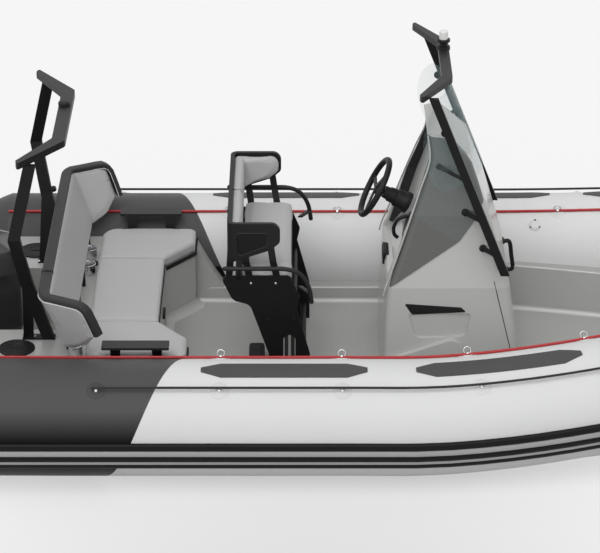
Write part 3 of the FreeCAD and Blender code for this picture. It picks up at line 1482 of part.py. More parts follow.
def make_leg():
    """Engine leg: yokes round the steering tube, ventilation plate, gearcase and skeg."""
    king = Part.makeCylinder(d.steer_pin, d.steer_top - d.steer_bottom + 2 * d.yoke,
                             Vector(d.steer_x, 0, d.steer_bottom - d.yoke))
    upper = upright([(d.steer_x + 45.0, -60.0), (d.steer_x + 45.0, 60.0), (d.leg_aft, 90.0),
                     (d.leg_aft, -90.0)], 20.0, d.steer_top + d.swivel_clearance,
                    d.cowl_bottom)
    lower = upright([(d.steer_x + 40.0, -45.0), (d.steer_x + 40.0, 45.0), (d.leg_aft + 20.0, 45.0),
                     (d.leg_aft + 20.0, -45.0)], 20.0, d.steer_bottom - d.yoke,
                    d.steer_bottom - d.swivel_clearance)
    shaft_case = Part.makeLoft([leg_section(d.leg_front - 10.0, d.leg_aft - 20.0, 62.0, d.cowl_bottom),
                                leg_section(d.leg_front - 5.0, d.leg_aft, d.leg_half_width, -80.0),
                                leg_section(d.leg_front + 10.0, d.leg_aft, 34.0, d.plate_z),
                                leg_section(d.leg_front + 20.0, d.leg_aft, 26.0, d.shaft_z)],
                               True, True)
    plate = upright([(d.leg_front + 25.0, 0.0), (d.leg_front - 60.0, 75.0), (d.leg_aft - 150.0, 85.0),
                     (d.leg_aft - 150.0, -85.0), (d.leg_front - 60.0, -75.0)], [20.0, 40.0, 20.0, 20.0, 40.0],
                    d.plate_z, d.plate_z + 10.0)
    case = rod((d.gearcase_front - 40.0, 0, d.shaft_z), (d.gearcase_aft, 0, d.shaft_z),
               d.gearcase_radius)
    nose = Part.makeSphere(d.gearcase_radius, Vector(d.gearcase_front - 40.0, 0, d.shaft_z))
    skeg = sideways([(d.leg_front - 20.0, d.shaft_z), (d.leg_aft, d.shaft_z),
                     (d.leg_aft - 30.0, d.skeg_bottom), (d.leg_aft + 30.0, d.skeg_bottom)], 0, -6.0, 6.0)
    shaft = rod((d.gearcase_aft, 0, d.shaft_z),
                (d.gearcase_aft - d.prop_play - d.prop_length - 14.0, 0, d.shaft_z), d.prop_shaft)
    feature("engine_leg", joined([king, upper, lower, shaft_case, plate, case, nose, skeg, shaft]))


def cowl_sections(inset):
    """Level sections of the engine cover."""
    levels = [(d.cowl_bottom, 26.0, 70.0, 0.80), (d.cowl_bottom + 90.0, 0.0, 25.0, 1.0),
              (d.cowl_top - 150.0, 4.0, 0.0, 0.97), (d.cowl_top - 40.0, 45.0, 30.0, 0.82),
              (d.cowl_top, 120.0, 110.0, 0.55)]
    wires = []
    for index, (height, front_back, aft_in, share) in enumerate(levels):
        front = d.cowl_front - front_back - inset
        aft = d.cowl_aft + aft_in + inset
        half = d.cowl_half_width * share - inset
        points = [(front, -half * 0.72), (front, half * 0.72), (front - 120.0, half),
                  (aft + 90.0, half), (aft, half * 0.6), (aft, -half * 0.6),
                  (aft + 90.0, -half), (front - 120.0, -half)]
        at = height
        if index == 0:
            at = height + inset
        if index == len(levels) - 1:
            at = height - inset
        wires.append(level_outline(points, 30.0, at))
    return wires


def make_cowl():
    """Hollow engine cover over the plain block of the power head."""
    outer = Part.makeLoft(cowl_sections(0.0), True, True)
    inner = Part.makeLoft(cowl_sections(d.cowl_wall), True, True)
    feature("engine_cowl", outer.cut(inner))
    power = add_box("engine_powerhead", ("powerhead_aft", "powerhead_front"),
                    ("-powerhead_half_width", "powerhead_half_width"),
                    ("cowl_bottom + cowl_wall", "powerhead_top"))
    keep(power, "engine_powerhead")


def make_propeller():
    """Three twisted blades on a hub."""
    start = d.gearcase_aft - d.prop_play
    hub = rod((start, 0, 0), (start - d.prop_length, 0, 0), d.prop_hub)
    blades = []
    for index in range(int(d.prop_blades)):
        sections = []
        for share, chord, thick in BLADE_SECTIONS:
            radius = d.prop_hub * 0.8 + (d.prop_radius - d.prop_hub * 0.8) * share
            points = [(-chord / 2, -thick / 2), (chord / 2, -thick / 2),
                      (chord / 2, thick / 2), (-chord / 2, thick / 2)]
            wire = rounded_outline(points, thick * 0.3)
            twist = d.prop_pitch_angle + 34.0 * (1.0 - share)
            wire.rotate(Vector(), Vector(0, 0, 1), 90.0 - twist)
            wire.translate(Vector(start - d.prop_length / 2, 0, radius))
            sections.append(wire)
        blade = Part.makeLoft(sections, True, False)
        blade.rotate(Vector(), Vector(1, 0, 0), 360.0 / d.prop_blades * index)
        blades.append(blade)
    whole = joined([hub] + blades)
    bore = rod((start + 1.0, 0, 0), (start - d.prop_length - 1.0, 0, 0),
               d.prop_shaft + d.prop_shaft_play)
    whole = whole.cut(bore)
    whole.translate(Vector(0, 0, d.shaft_z))
    feature("propeller", whole)


# Towing and lifting eyes

def make_eyes():
    """Eyes on the transom and on the stem, each a plate with a round hole."""
    low, high, tip = d.eye_z - d.eye_rim, d.eye_z + d.eye_rim, -d.eye_reach - d.eye_rim
    points = [(0.0, low), (0.0, high), (tip, high), (tip, low)]
    tab = sideways(points, [0, 0, d.eye_rim * 0.8, d.eye_rim * 0.8],
                   d.eye_y - d.eye_thickness / 2, d.eye_y + d.eye_thickness / 2)
    base = block(-d.eye_base, 0.0, d.eye_y - d.eye_rim, d.eye_y + d.eye_rim,
                 d.eye_z - d.eye_rim - 4.0, d.eye_z + d.eye_rim + 4.0)
    hole = rod((-d.eye_reach, d.eye_y - d.eye_rim, d.eye_z), (-d.eye_reach, d.eye_y + d.eye_rim, d.eye_z),
               d.eye_hole)
    feature("transom_eyes", both_sides(joined([tab, base]).cut(hole)))
    z = d.bow_eye_z
    risen = (z + d.keel_depth) / (d.keel_depth + d.stem_height)
    stem = d.forefoot_x + (d.stem_x - d.forefoot_x) * risen ** (1.0 / d.forefoot_power)
    x = stem + d.eye_reach
    half = d.eye_thickness / 2
    tab = sideways([(x - 90.0, z + 60.0), (x - 90.0, z - 20.0), (x + d.eye_rim, z - d.eye_rim),
                    (x + d.eye_rim, z + d.eye_rim), (x - 20.0, z + 60.0)], [0, 0, 20.0, 20.0, 10.0], -half, half)
    hole = rod((x, -40.0, z), (x, 40.0, z), d.eye_hole)
    feature("bow_eye", tab.cut(hole).cut(hull_form()))


make_tube()
make_stern_cones()
make_strake()
make_piping()
make_lifeline()
make_wear_patches()
make_rings()
make_valves()
make_hull()
make_bow_deck()
make_bow_lid()
make_liner()
make_stern_moulding()
make_deck_caps()
make_bench_lid()
make_side_cushions()
make_backrest()
make_backrest_brackets()
make_grab_rails()
make_roll_bar()
make_helm_plates()
make_helm_frame()
make_helm_cushion()
make_helm_back()
make_arm_rails()
make_console()
make_throttle()
make_frame()
make_windscreen()
make_light()
make_steering()
make_clamp()
make_swivel()
make_leg()
make_cowl()
make_propeller()
make_eyes()

doc.recompute()
for obj in doc.Objects:
    if "Invalid" in obj.State or "Error" in obj.State:
        raise RuntimeError(f"{obj.Label} did not compute: {obj.State}")
for piece in pieces:
    if piece.Shape.isNull() or not piece.Shape.isValid():
        raise RuntimeError(f"{piece.Label} has no valid shape")

os.makedirs("parts", exist_ok=True)
for piece in pieces:
    piece.Shape.exportStep(f"parts/{piece.Label}.step")
    box = piece.Shape.BoundBox
    print(f"{piece.Label}: {len(piece.Shape.Solids)} solids, {piece.Shape.Volume / 1e6:.2f} dm3, "
          f"x {box.XMin:.0f}..{box.XMax:.0f}, y {box.YMin:.0f}..{box.YMax:.0f}, "
          f"z {box.ZMin:.0f}..{box.ZMax:.0f}")
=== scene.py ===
# %% [markdown]
# # A rigid inflatable boat
# The boat has a two-colour air tube round a glass-fibre hull, a bench and an outboard engine at the
# stern, a double helm seat, and a console with a raked screen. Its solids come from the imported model,
# so this lesson gives them their finishes and adds what a solid can't show: cushions, seams, bolts.

# %% Load the frame
import math

import bmesh
import bpy
import numpy as np
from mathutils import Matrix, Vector
from mathutils.bvhtree import BVHTree


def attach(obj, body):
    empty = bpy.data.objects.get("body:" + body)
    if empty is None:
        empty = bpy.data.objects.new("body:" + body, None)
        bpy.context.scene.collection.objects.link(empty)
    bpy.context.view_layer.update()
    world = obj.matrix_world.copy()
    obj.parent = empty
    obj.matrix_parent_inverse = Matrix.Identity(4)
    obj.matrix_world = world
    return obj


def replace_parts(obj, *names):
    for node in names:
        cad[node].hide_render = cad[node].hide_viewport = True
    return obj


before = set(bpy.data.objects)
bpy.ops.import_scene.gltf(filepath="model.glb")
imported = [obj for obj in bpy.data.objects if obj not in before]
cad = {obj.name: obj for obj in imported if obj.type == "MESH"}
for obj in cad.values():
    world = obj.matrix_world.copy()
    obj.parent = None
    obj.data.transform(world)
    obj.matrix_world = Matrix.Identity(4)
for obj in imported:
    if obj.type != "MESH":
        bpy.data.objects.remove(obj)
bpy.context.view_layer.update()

SIDES = (1, -1)
AHEAD, ACROSS, UP = Vector((1, 0, 0)), Vector((0, 1, 0)), Vector((0, 0, 1))

# %% [markdown]
# ## Small helpers
# A piece on a boat is nearly always one of three things: a sheet or bar swept along a line, a block
# with soft edges, or a round fitting. Each helper makes one of these as a mesh. `place` then gives it
# its finish and body, so no piece is left without them. Lengths are metres, x runs forward, y to
# port and z up. A loop over `SIDES` makes the same thing to port (1) and to starboard (-1).

# %% Naming and placing a piece
CREASE = math.radians(42.0)


def mesh_object(name, points, faces):
    """A new object in the scene from points and faces."""
    mesh = bpy.data.meshes.new(name)
    mesh.from_pydata([tuple(p) for p in points], [], faces)
    mesh.validate()
    obj = bpy.data.objects.new(name, mesh)
    bpy.context.scene.collection.objects.link(obj)
    return obj


def place(obj, finish, body="boat"):
    """Give a piece its finish and let it ride on its body."""
    obj.data.materials.clear()
    obj.data.materials.append(finish)
    for polygon in obj.data.polygons:
        polygon.use_smooth = True
    obj.data.set_sharp_from_angle(angle=CREASE)
    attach(obj, body)
    return obj


def merge(name, objects):
    """Several meshes as one piece."""
    whole = bmesh.new()
    for obj in objects:
        whole.from_mesh(obj.data)
        mesh = obj.data
        bpy.data.objects.remove(obj)
        bpy.data.meshes.remove(mesh)
    mesh = bpy.data.meshes.new(name)
    whole.to_mesh(mesh)
    whole.free()
    joined = bpy.data.objects.new(name, mesh)
    bpy.context.scene.collection.objects.link(joined)
    return joined


def joined(name, parts, finish, slot):
    """Several meshes placed on the hull as one piece."""
    return place(merge(name, parts), finish)


def soften(obj, width):
    """Round the hard edges, as moulding, casting and rubber have them."""
    bevel = obj.modifiers.new("Soft edges", "BEVEL")
    bevel.width = width
    bevel.segments = 3
    bevel.limit_method = "ANGLE"
    bevel.angle_limit = math.radians(35.0)


def baked(obj):
    """Apply the modifiers, so that the mesh itself has the shape."""
    graph = bpy.context.evaluated_depsgraph_get()
    mesh = bpy.data.meshes.new_from_object(obj.evaluated_get(graph))
    obj.modifiers.clear()
    old = obj.data
    obj.data = mesh
    bpy.data.meshes.remove(old)
    return obj


# %% Sheets, bars and tubes along a line
def loft(name, rings, cap=True):
    """Skin a row of equal closed rings of points."""
    count = len(rings[0])
    points = [p for ring in rings for p in ring]
    faces = []
    for r in range(len(rings) - 1):
        for c in range(count):
            n = (c + 1) % count
            faces.append((r * count + c, r * count + n, (r + 1) * count + n, (r + 1) * count + c))
    if cap:
        faces.append(tuple(reversed(range(count))))
        faces.append(tuple((len(rings) - 1) * count + c for c in range(count)))
    obj = mesh_object(name, points, faces)
    whole = bmesh.new()
    whole.from_mesh(obj.data)
    bmesh.ops.recalc_face_normals(whole, faces=whole.faces)
    whole.to_mesh(obj.data)
    whole.free()
    return obj


def frames_along(path, up):
    """Side and up directions at each point of a path."""
    found = []
    for i, p in enumerate(path):
        ahead = (path[min(i + 1, len(path) - 1)] - path[max(i - 1, 0)]).normalized()
        side = ahead.cross(up)
        side = side.normalized() if side.length > 1e-6 else Vector((0, 1, 0))
        found.append((p, side, side.cross(ahead).normalized()))
    return found


def swept(name, path, section, up=UP, closed=False):
    """Carry a section, a list of (side, up) offsets, along a path."""
    path = [Vector(p) for p in path]
    rings = [[p + s * a + u * b for a, b in section] for p, s, u in frames_along(path, up)]
    if closed:
        rings.append(rings[0])
    return loft(name, rings, cap=not closed)


def circle(radius, count=12):
    """A round section, centred on the path."""
    turns = [2 * math.pi * i / count for i in range(count)]
    return [(radius * math.cos(a), radius * math.sin(a)) for a in turns]


def rounded_box_section(width, height, radius, steps=4):
    """A rectangle with round corners, centred on the path."""
    points = []
    for cx, cy, start in ((1, 1, 0), (-1, 1, 90), (-1, -1, 180), (1, -1, 270)):
        for i in range(steps + 1):
            a = math.radians(start + 90 * i / steps)
            points.append((cx * (width / 2 - radius) + radius * math.cos(a),
                           cy * (height / 2 - radius) + radius * math.sin(a)))
    return points


def smooth_path(points, steps=10):
    """A smooth line through a few points."""
    points = [Vector(p) for p in points]
    ends = [points[0] * 2 - points[1]] + points + [points[-1] * 2 - points[-2]]
    line = []
    for a, b, c, e in zip(ends, ends[1:], ends[2:], ends[3:]):
        for i in range(steps):
            t = i / steps
            line.append(0.5 * ((2 * b) + (c - a) * t + (2 * a - 5 * b + 4 * c - e) * t * t
                               + (3 * b - a - 3 * c + e) * t ** 3))
    return line + [points[-1]]


# %% Round and flat fittings
def turned(name, profile, centre, axis, count=32):
    """Turn a profile of (radius, height) round an axis through centre."""
    axis = Vector(axis).normalized()
    side = axis.orthogonal().normalized()
    across = axis.cross(side)
    rings = []
    for radius, height in profile:
        rings.append([Vector(centre) + axis * height
                      + (side * math.cos(a) + across * math.sin(a)) * max(radius, 1e-5)
                      for a in (2 * math.pi * i / count for i in range(count))])
    return loft(name, rings)


def slab(name, outline, normal, thickness, rounding=0.0):
    """A plate from an outline of points, thickened along normal, with softened edges."""
    outline = [Vector(p) for p in outline]
    lift = Vector(normal).normalized() * thickness
    obj = loft(name, [outline, [p + lift for p in outline]])
    if rounding:
        soften(obj, rounding)
        baked(obj)
    return obj


def rectangle(left, low, right, high):
    """The four corners, in order."""
    return [(left, low), (right, low), (right, high), (left, high)]


def mirrored(points, side):
    """The same points to port or to starboard."""
    return [(p[0], p[1] * side, *p[2:]) for p in points]


def round_corners(points, radius, steps=5):
    """Round the corners of a flat outline of 2-D points."""
    result = []
    radii = radius if isinstance(radius, list) else [radius] * len(points)
    for i, corner in enumerate(points):
        c = Vector(corner)
        back = (Vector(points[i - 1]) - c)
        ahead = (Vector(points[(i + 1) % len(points)]) - c)
        opening = back.angle(ahead)
        reach = min(radii[i] / math.tan(opening / 2), back.length * 0.49, ahead.length * 0.49)
        if reach < 1e-5:
            result.append(c)
            continue
        a, b = c + back.normalized() * reach, c + ahead.normalized() * reach
        for s in range(steps + 1):
            t = s / steps
            result.append(a * (1 - t) ** 2 + c * 2 * t * (1 - t) + b * t * t)
    return result


def bolt(name, centre, normal, radius, washer=True):
    """A domed head with a socket in its top, on a washer or bare."""
    foot = [(1.7, 0.0), (1.7, 0.0012), (1.55, 0.0018)] if washer else [(1.0, 0.0)]
    dome = [(1.0, 0.0018), (0.97, 0.0035), (0.75, 0.0058), (0.45, 0.0068), (0.42, 0.0050), (0.0, 0.0050)]
    return turned(name, [(radius * share, height) for share, height in foot + dome], centre, normal, 20)


print("helpers ready")

# %% [markdown]
# ## The form of the air tube
# Ropes, patches and strips follow the tube, so the same four formulas that shape the solid tube are
# used here. A place on the tube is then only a distance along the boat and an angle up from the
# outboard side, which is also how such a boat is marked out with tape before its patches are glued.

# %% Tube form
BEND_START, BEND_LENGTH = 2.05, 2.67
SIDE_BREADTH, SIDE_HEIGHT, NOSE_RISE = 0.99, 0.30, 0.38
STERN_RADIUS, NOSE_THINNING = 0.28, 0.03


def bow_share(x):
    """0 along the straight sides, and up to 1 at the nose."""
    return min(max((x - BEND_START) / BEND_LENGTH, 0.0), 1.0)


def half_breadth(x):
    """From the boat's middle to the middle of the tube."""
    return SIDE_BREADTH * math.sqrt(max(1.0 - bow_share(x) ** 1.4, 0.0))


def tube_middle(x):
    """The tube's middle on the port side."""
    return Vector((x, half_breadth(x), SIDE_HEIGHT + NOSE_RISE * bow_share(x) ** 1.75))


def tube_radius(x):
    return STERN_RADIUS - NOSE_THINNING * bow_share(x) ** 2


def bow_place(sweep):
    """The sweep runs from the port stern round the nose to the starboard stern."""
    port = min(sweep, math.pi - sweep)
    return BEND_START + BEND_LENGTH * (port if port < 0 else math.sin(port))


def sweep_at(x):
    """The sweep of a place on the port side."""
    along = (x - BEND_START) / BEND_LENGTH
    return along if along < 0 else math.asin(min(along, 1.0))


def tube_point(sweep):
    """The tube's middle at a sweep, on either side."""
    p = tube_middle(bow_place(sweep))
    return p if sweep <= math.pi / 2 else Vector((p.x, -p.y, p.z))


def on_tube(sweep, degrees, lift=0.0):
    """A point on the skin, with the directions outward from it and along the tube."""
    along = (tube_point(sweep + 0.002) - tube_point(sweep - 0.002)).normalized()
    outward = UP.cross(along).normalized()
    upward = along.cross(outward)
    a = math.radians(degrees)
    normal = outward * math.cos(a) + upward * math.sin(a)
    return tube_point(sweep) + normal * (tube_radius(bow_place(sweep)) + lift), normal, along


def side_sweep(x, side):
    """The sweep of a place on one side: 1 is port and -1 starboard."""
    return sweep_at(x) if side > 0 else math.pi - sweep_at(x)


nose = on_tube(math.pi / 2, 0.0)[0]
print("nose of the tube at x =", round(nose.x, 3), "z =", round(nose.z, 3))

# %% [markdown]
# ## Shader groups
# Most finishes here share four effects: a colour that drifts a little from place to place, a fine
# grain, a woven cloth under rubber, and rubbed or dusty patches. Each is a node group built once, so
# that a material only says how much of it is wanted and at what size. A group puts out masks, colours
# and heights only; the shader itself stays in the material.

# %% A short way to write nodes
class Wiring:
    """Adds nodes to one tree and joins their sockets."""

    def __init__(self, tree):
        self.tree = tree

    def node(self, kind, **settings):
        made = self.tree.nodes.new(kind)
        for key, value in settings.items():
            setattr(made, key, value)
        return made

    def feed(self, node, socket, value):
        if isinstance(value, bpy.types.NodeSocket):
            self.tree.links.new(value, node.inputs[socket])
        else:
            node.inputs[socket].default_value = value

    def fed(self, kind, sockets, **settings):
        """Add a node, feed its sockets and give its outputs."""
        node = self.node(kind, **settings)
        for socket, value in sockets.items():
            self.feed(node, socket, value)
        return node.outputs

    def math(self, operation, a, b=0.0, clamp=False):
        return self.fed("ShaderNodeMath", {0: a, 1: b}, operation=operation, use_clamp=clamp)[0]

    def line(self, value, gain, base):
        """A value times a gain, plus a base."""
        return self.math("ADD", self.math("MULTIPLY", value, gain), base)

    def vector(self, operation, vector, other):
        second = "Scale" if operation == "SCALE" else 1
        return self.fed("ShaderNodeVectorMath", {0: vector, second: other}, operation=operation)

    def noise(self, vector, scale, detail=3.0, roughness=0.5):
        sockets = {"Vector": vector, "Scale": scale, "Detail": detail, "Roughness": roughness}
        return self.fed("ShaderNodeTexNoise", sockets)["Fac"]

    def cells(self, vector, scale):
        return self.fed("ShaderNodeTexVoronoi", {"Vector": vector, "Scale": scale})["Distance"]

    def between(self, value, low, high, out_low=0.0, out_high=1.0):
        """Map low to out_low and high to out_high, with nothing past either."""
        sockets = dict(enumerate((value, low, high, out_low, out_high)))
        return self.fed("ShaderNodeMapRange", sockets, clamp=True)[0]

    def mix(self, share, a, b):
        """Colour a where the share is 0 and colour b where it is 1."""
        return self.fed("ShaderNodeMix", {0: share, 6: a, 7: b}, data_type="RGBA")[2]

    def split(self, vector):
        return self.fed("ShaderNodeSeparateXYZ", {0: vector})

    def mix_shaders(self, share, first, second):
        sockets = dict(enumerate((share, first.outputs[0], second.outputs[0])))
        return self.fed("ShaderNodeMixShader", sockets)[0]

    def seen_ray(self):
        """1 for what the camera sees, straight, in a mirror or through a clear sheet."""
        ray = self.node("ShaderNodeLightPath").outputs
        bent = self.math("MAXIMUM", ray["Is Glossy Ray"], ray["Is Transmission Ray"])
        return self.math("MAXIMUM", ray["Is Camera Ray"], bent)


def shader_group(title, inputs, outputs):
    """An empty group with its named sockets, and the wiring to fill it with."""
    tree = bpy.data.node_groups.new(title, "ShaderNodeTree")
    for label, kind, value in inputs:
        socket = tree.interface.new_socket(label, in_out="INPUT", socket_type=kind)
        if value is not None:
            socket.default_value = value
    for label, kind in outputs:
        tree.interface.new_socket(label, in_out="OUTPUT", socket_type=kind)
    wiring = Wiring(tree)
    return tree, wiring, wiring.node("NodeGroupInput").outputs, wiring.node("NodeGroupOutput")


# %% Colour that drifts
COLOUR, NUMBER, VECTOR = "NodeSocketColor", "NodeSocketFloat", "NodeSocketVector"

drift_group, w, given, out = shader_group(
    "Colour drift", [("Vector", VECTOR, None), ("Colour", COLOUR, (0.5, 0.5, 0.5, 1)),
                     ("Amount", NUMBER, 0.08), ("Patches per metre", NUMBER, 3.0)], [("Colour", COLOUR)])
broad = w.noise(given["Vector"], given["Patches per metre"], 4.0, 0.55)
fine = w.noise(given["Vector"], w.math("MULTIPLY", given["Patches per metre"], 60.0), 2.0)
shade = w.math("ADD", w.math("MULTIPLY", broad, 0.7), w.math("MULTIPLY", fine, 0.3))
swing = w.math("MULTIPLY", w.math("SUBTRACT", shade, 0.5), w.math("MULTIPLY", given["Amount"], 2.0))
w.feed(out, "Colour", w.vector("SCALE", given["Colour"], w.math("ADD", swing, 1.0))[0])

# %% Fine grain of moulded and coated surfaces
grain_group, w, given, out = shader_group(
    "Fine grain", [("Vector", VECTOR, None), ("Grains per metre", NUMBER, 700.0), ("Pebbles", NUMBER, 0.5)],
    [("Height", NUMBER)])
pebble = w.cells(given["Vector"], given["Grains per metre"])
powder = w.noise(given["Vector"], w.math("MULTIPLY", given["Grains per metre"], 1.7), 3.0)
w.feed(out, "Height", w.math("ADD", w.math("MULTIPLY", pebble, given["Pebbles"]),
                             w.math("MULTIPLY", powder, w.math("SUBTRACT", 1.0, given["Pebbles"]))))

# %% Woven cloth under a rubber skin
weave_group, w, given, out = shader_group(
    "Woven cloth", [("Vector", VECTOR, None), ("Threads per metre", NUMBER, 900.0)], [("Height", NUMBER)])
crossing = []
for direction in ((1.0, 0.0, 0.35), (0.0, 1.0, 1.0)):
    line = w.vector("DOT_PRODUCT", given["Vector"], direction)["Value"]
    threads = w.math("MULTIPLY", given["Threads per metre"], math.pi)
    crossing.append(w.math("SINE", w.math("MULTIPLY", line, threads)))
uneven = w.noise(given["Vector"], 40.0, 3.0)
w.feed(out, "Height", w.line(w.math("MULTIPLY", crossing[0], crossing[1]), 0.4, uneven))

# %% Rubbed and dusty places
rubbed_group, w, given, out = shader_group(
    "Rubbed places", [("Vector", VECTOR, None), ("Direction", VECTOR, (1.0, 6.0, 6.0)),
                      ("Amount", NUMBER, 0.3)], [("Mask", NUMBER)])
scratch = w.noise(w.vector("MULTIPLY", given["Vector"], given["Direction"])[0], 14.0, 6.0, 0.7)
cloud = w.noise(given["Vector"], 5.0, 3.0)
both_masks = w.math("MULTIPLY", w.between(scratch, 0.52, 0.72), w.between(cloud, 0.42, 0.62))
w.feed(out, "Mask", w.math("MULTIPLY", both_masks, given["Amount"], clamp=True))
print("shader groups:", [g.name for g in bpy.data.node_groups])

# %% [markdown]
# ## One recipe for the plain finishes
# Glass fibre, powder coat, moulded plastic and rubber differ in colour, gloss and grain, not in kind.
# So one function builds them: drifted colour, roughness that the rubbed places raise, and a bump from
# the grain. Numbers that hold all over a surface are set straight on the shader's sockets.

# %% The plain finish
def coordinates(w):
    return w.node("ShaderNodeTexCoord").outputs["Object"]


def grouped(w, tree, vector, **values):
    """Place a shader group with its own values, and give its first output."""
    sockets = {key.replace("_", " "): value for key, value in values.items()}
    return w.fed("ShaderNodeGroup", {"Vector": vector, **sockets}, node_tree=tree)[0]


def new_finish(title):
    """A material with its wiring, its shader and the object's own coordinates."""
    finish = bpy.data.materials.new(title)
    finish.use_nodes = True
    w = Wiring(finish.node_tree)
    shader = finish.node_tree.nodes["Principled BSDF"]
    return finish, w, shader, coordinates(w)


def bump(w, shader, height, depth):
    """Relief of a depth in metres."""
    relief = w.fed("ShaderNodeBump", {"Height": height, "Distance": depth, "Strength": 1.0})
    w.feed(shader, "Normal", relief[0])


def set_constants(shader, **constants):
    """Set what holds all over the surface on the shader's own sockets."""
    for key, value in constants.items():
        shader.inputs[key.replace("_", " ")].default_value = value


def drifting(w, where, colour, amount, patches):
    """A colour that varies from place to place by an amount, in so many patches per metre."""
    return grouped(w, drift_group, where, Colour=(*colour, 1.0), Amount=amount, Patches_per_metre=patches)


def plain_finish(title, colour, roughness, drift=0.06, patches=3.0, grains=900.0, pebbles=0.4,
                 depth=0.0004, rub=0.3, metallic=0.0, coat=0.0, coat_roughness=0.1, specular=0.5,
                 woven=False, sheen=0.0):
    """A finish with drifting colour, grain and rubbed places."""
    finish, w, shader, where = new_finish(title)
    w.feed(shader, "Base Color", drifting(w, where, colour, drift, patches))
    mask = grouped(w, rubbed_group, where, Amount=rub)
    w.feed(shader, "Roughness", w.math("ADD", w.math("MULTIPLY", mask, 0.35), roughness, clamp=True))
    set_constants(shader, Metallic=metallic, Coat_Weight=coat, Coat_Roughness=coat_roughness,
                  Specular_IOR_Level=specular, Sheen_Weight=sheen)
    if woven:
        height = grouped(w, weave_group, where, Threads_per_metre=grains)
    else:
        height = grouped(w, grain_group, where, Grains_per_metre=grains, Pebbles=pebbles)
    bump(w, shader, height, depth)
    return finish


# What finishes of one kind share
GEL = {"grains": 500, "depth": 0.00006}
POWDER = {"drift": 0.15, "patches": 6, "grains": 1800, "pebbles": 0.25, "depth": 0.0002, "rub": 0.4}
STRIP_RUBBER = {"grains": 1500, "depth": 0.0002}

gelcoat = plain_finish("Light grey gelcoat", (0.44, 0.442, 0.432), 0.32, drift=0.04, grains=500,
                       depth=0.00008, rub=0.5, coat=0.3, coat_roughness=0.12)
console_gelcoat = plain_finish("Pale console gelcoat", (0.48, 0.486, 0.472), 0.28, drift=0.03, rub=0.4,
                               coat=0.4, **GEL)
cove_gelcoat = plain_finish("Smooth pale gelcoat", (0.50, 0.502, 0.49), 0.30, drift=0.03, rub=0.3,
                            coat=0.3, **GEL)
hull_gelcoat = plain_finish("White hull gelcoat", (0.70, 0.70, 0.69), 0.25, drift=0.04, rub=0.6,
                            coat=0.4, **GEL)
powder_coat = plain_finish("Black powder coat", (0.0070, 0.0072, 0.0074), 0.45, specular=0.18, **POWDER)
dark_powder = plain_finish("Dark grey powder coat", (0.014, 0.014, 0.0145), 0.42, specular=0.25, **POWDER)
black_plastic = plain_finish("Black moulded plastic", (0.009, 0.009, 0.0095), 0.50, drift=0.12, grains=1200,
                             pebbles=0.7, depth=0.0003, rub=0.5, specular=0.25)
black_rubber = plain_finish("Black strake rubber", (0.0060, 0.0060, 0.0062), 0.45, drift=0.2, rub=0.8,
                            specular=0.16, **STRIP_RUBBER)
light_rubber = plain_finish("Light strake line", (0.42, 0.425, 0.42), 0.45, drift=0.08, rub=0.6,
                            **STRIP_RUBBER)
patch_rubber = plain_finish("Wear patch rubber", (0.072, 0.072, 0.074), 0.62, drift=0.10, patches=8,
                            grains=420, pebbles=0.9, depth=0.0009, rub=0.5, specular=0.3)
red_rubber = plain_finish("Red piping rubber", (0.42, 0.018, 0.022), 0.38, drift=0.10, rub=0.6,
                          specular=0.4, **STRIP_RUBBER)
dark_fabric = plain_finish("Dark tube fabric", (0.060, 0.060, 0.061), 0.46, drift=0.10, grains=800,
                           depth=0.00025, rub=0.5, specular=0.2, woven=True)
pale_fitting = plain_finish("Pale tube fitting", (0.66, 0.665, 0.66), 0.45, drift=0.04, grains=1100,
                            depth=0.0003, rub=0.5)
dark_vinyl = plain_finish("Dark band vinyl", (0.030, 0.030, 0.031), 0.50, drift=0.08, grains=650,
                          pebbles=0.85, depth=0.0005, rub=0.4, specular=0.25)
light_vinyl = plain_finish("Light cushion vinyl", (0.47, 0.472, 0.472), 0.52, drift=0.035, patches=5,
                           grains=620, pebbles=0.85, depth=0.00055, rub=0.4, specular=0.35, sheen=0.05)
welt_vinyl = plain_finish("Pale welt vinyl", (0.62, 0.622, 0.62), 0.45, drift=0.03, grains=900,
                          depth=0.0002, rub=0.4, specular=0.35)
steel = plain_finish("Polished stainless steel", (0.62, 0.62, 0.63), 0.22, drift=0.05, grains=900,
                     depth=0.00005, rub=0.5, metallic=1.0)
engine_paint = plain_finish("Dark engine paint", (0.020, 0.0202, 0.021), 0.30, drift=0.10, grains=900,
                            depth=0.00005, rub=0.4, coat=0.6, coat_roughness=0.08)
cast_paint = plain_finish("Painted casting", (0.024, 0.024, 0.026), 0.42, drift=0.12, patches=9, grains=700,
                          pebbles=0.5, depth=0.0004, rub=0.5)
propeller_paint = plain_finish("Worn propeller paint", (0.018, 0.018, 0.019), 0.33, drift=0.3, patches=20,
                               grains=900, depth=0.0002, rub=1.0, metallic=0.4)
lamp_white = plain_finish("White lamp plastic", (0.80, 0.80, 0.79), 0.22, drift=0.02, grains=900,
                          depth=0.00005, rub=0.2, coat=0.5)
print("finishes:", len(bpy.data.materials))

# %% [markdown]
# ## Two colours on one tube
# The stern of the tube is dark and the rest pale. On the real boat two fabrics meet in a glued seam
# that winds up and forward round the tube. A mask from the angle round the tube gives that line, so it
# stays sharp at any distance. A narrow raised band along it is the overlap of the two cloths.

# %% Two-colour tube fabric
SEAM_X, SEAM_PER_DEGREE = 0.70, 0.0021
# Angles up the tube, in degrees, over which the painted highlight on the dark cloth grows from none to full
HIGHLIGHT_FROM, HIGHLIGHT_TO = 6.0, 34.0

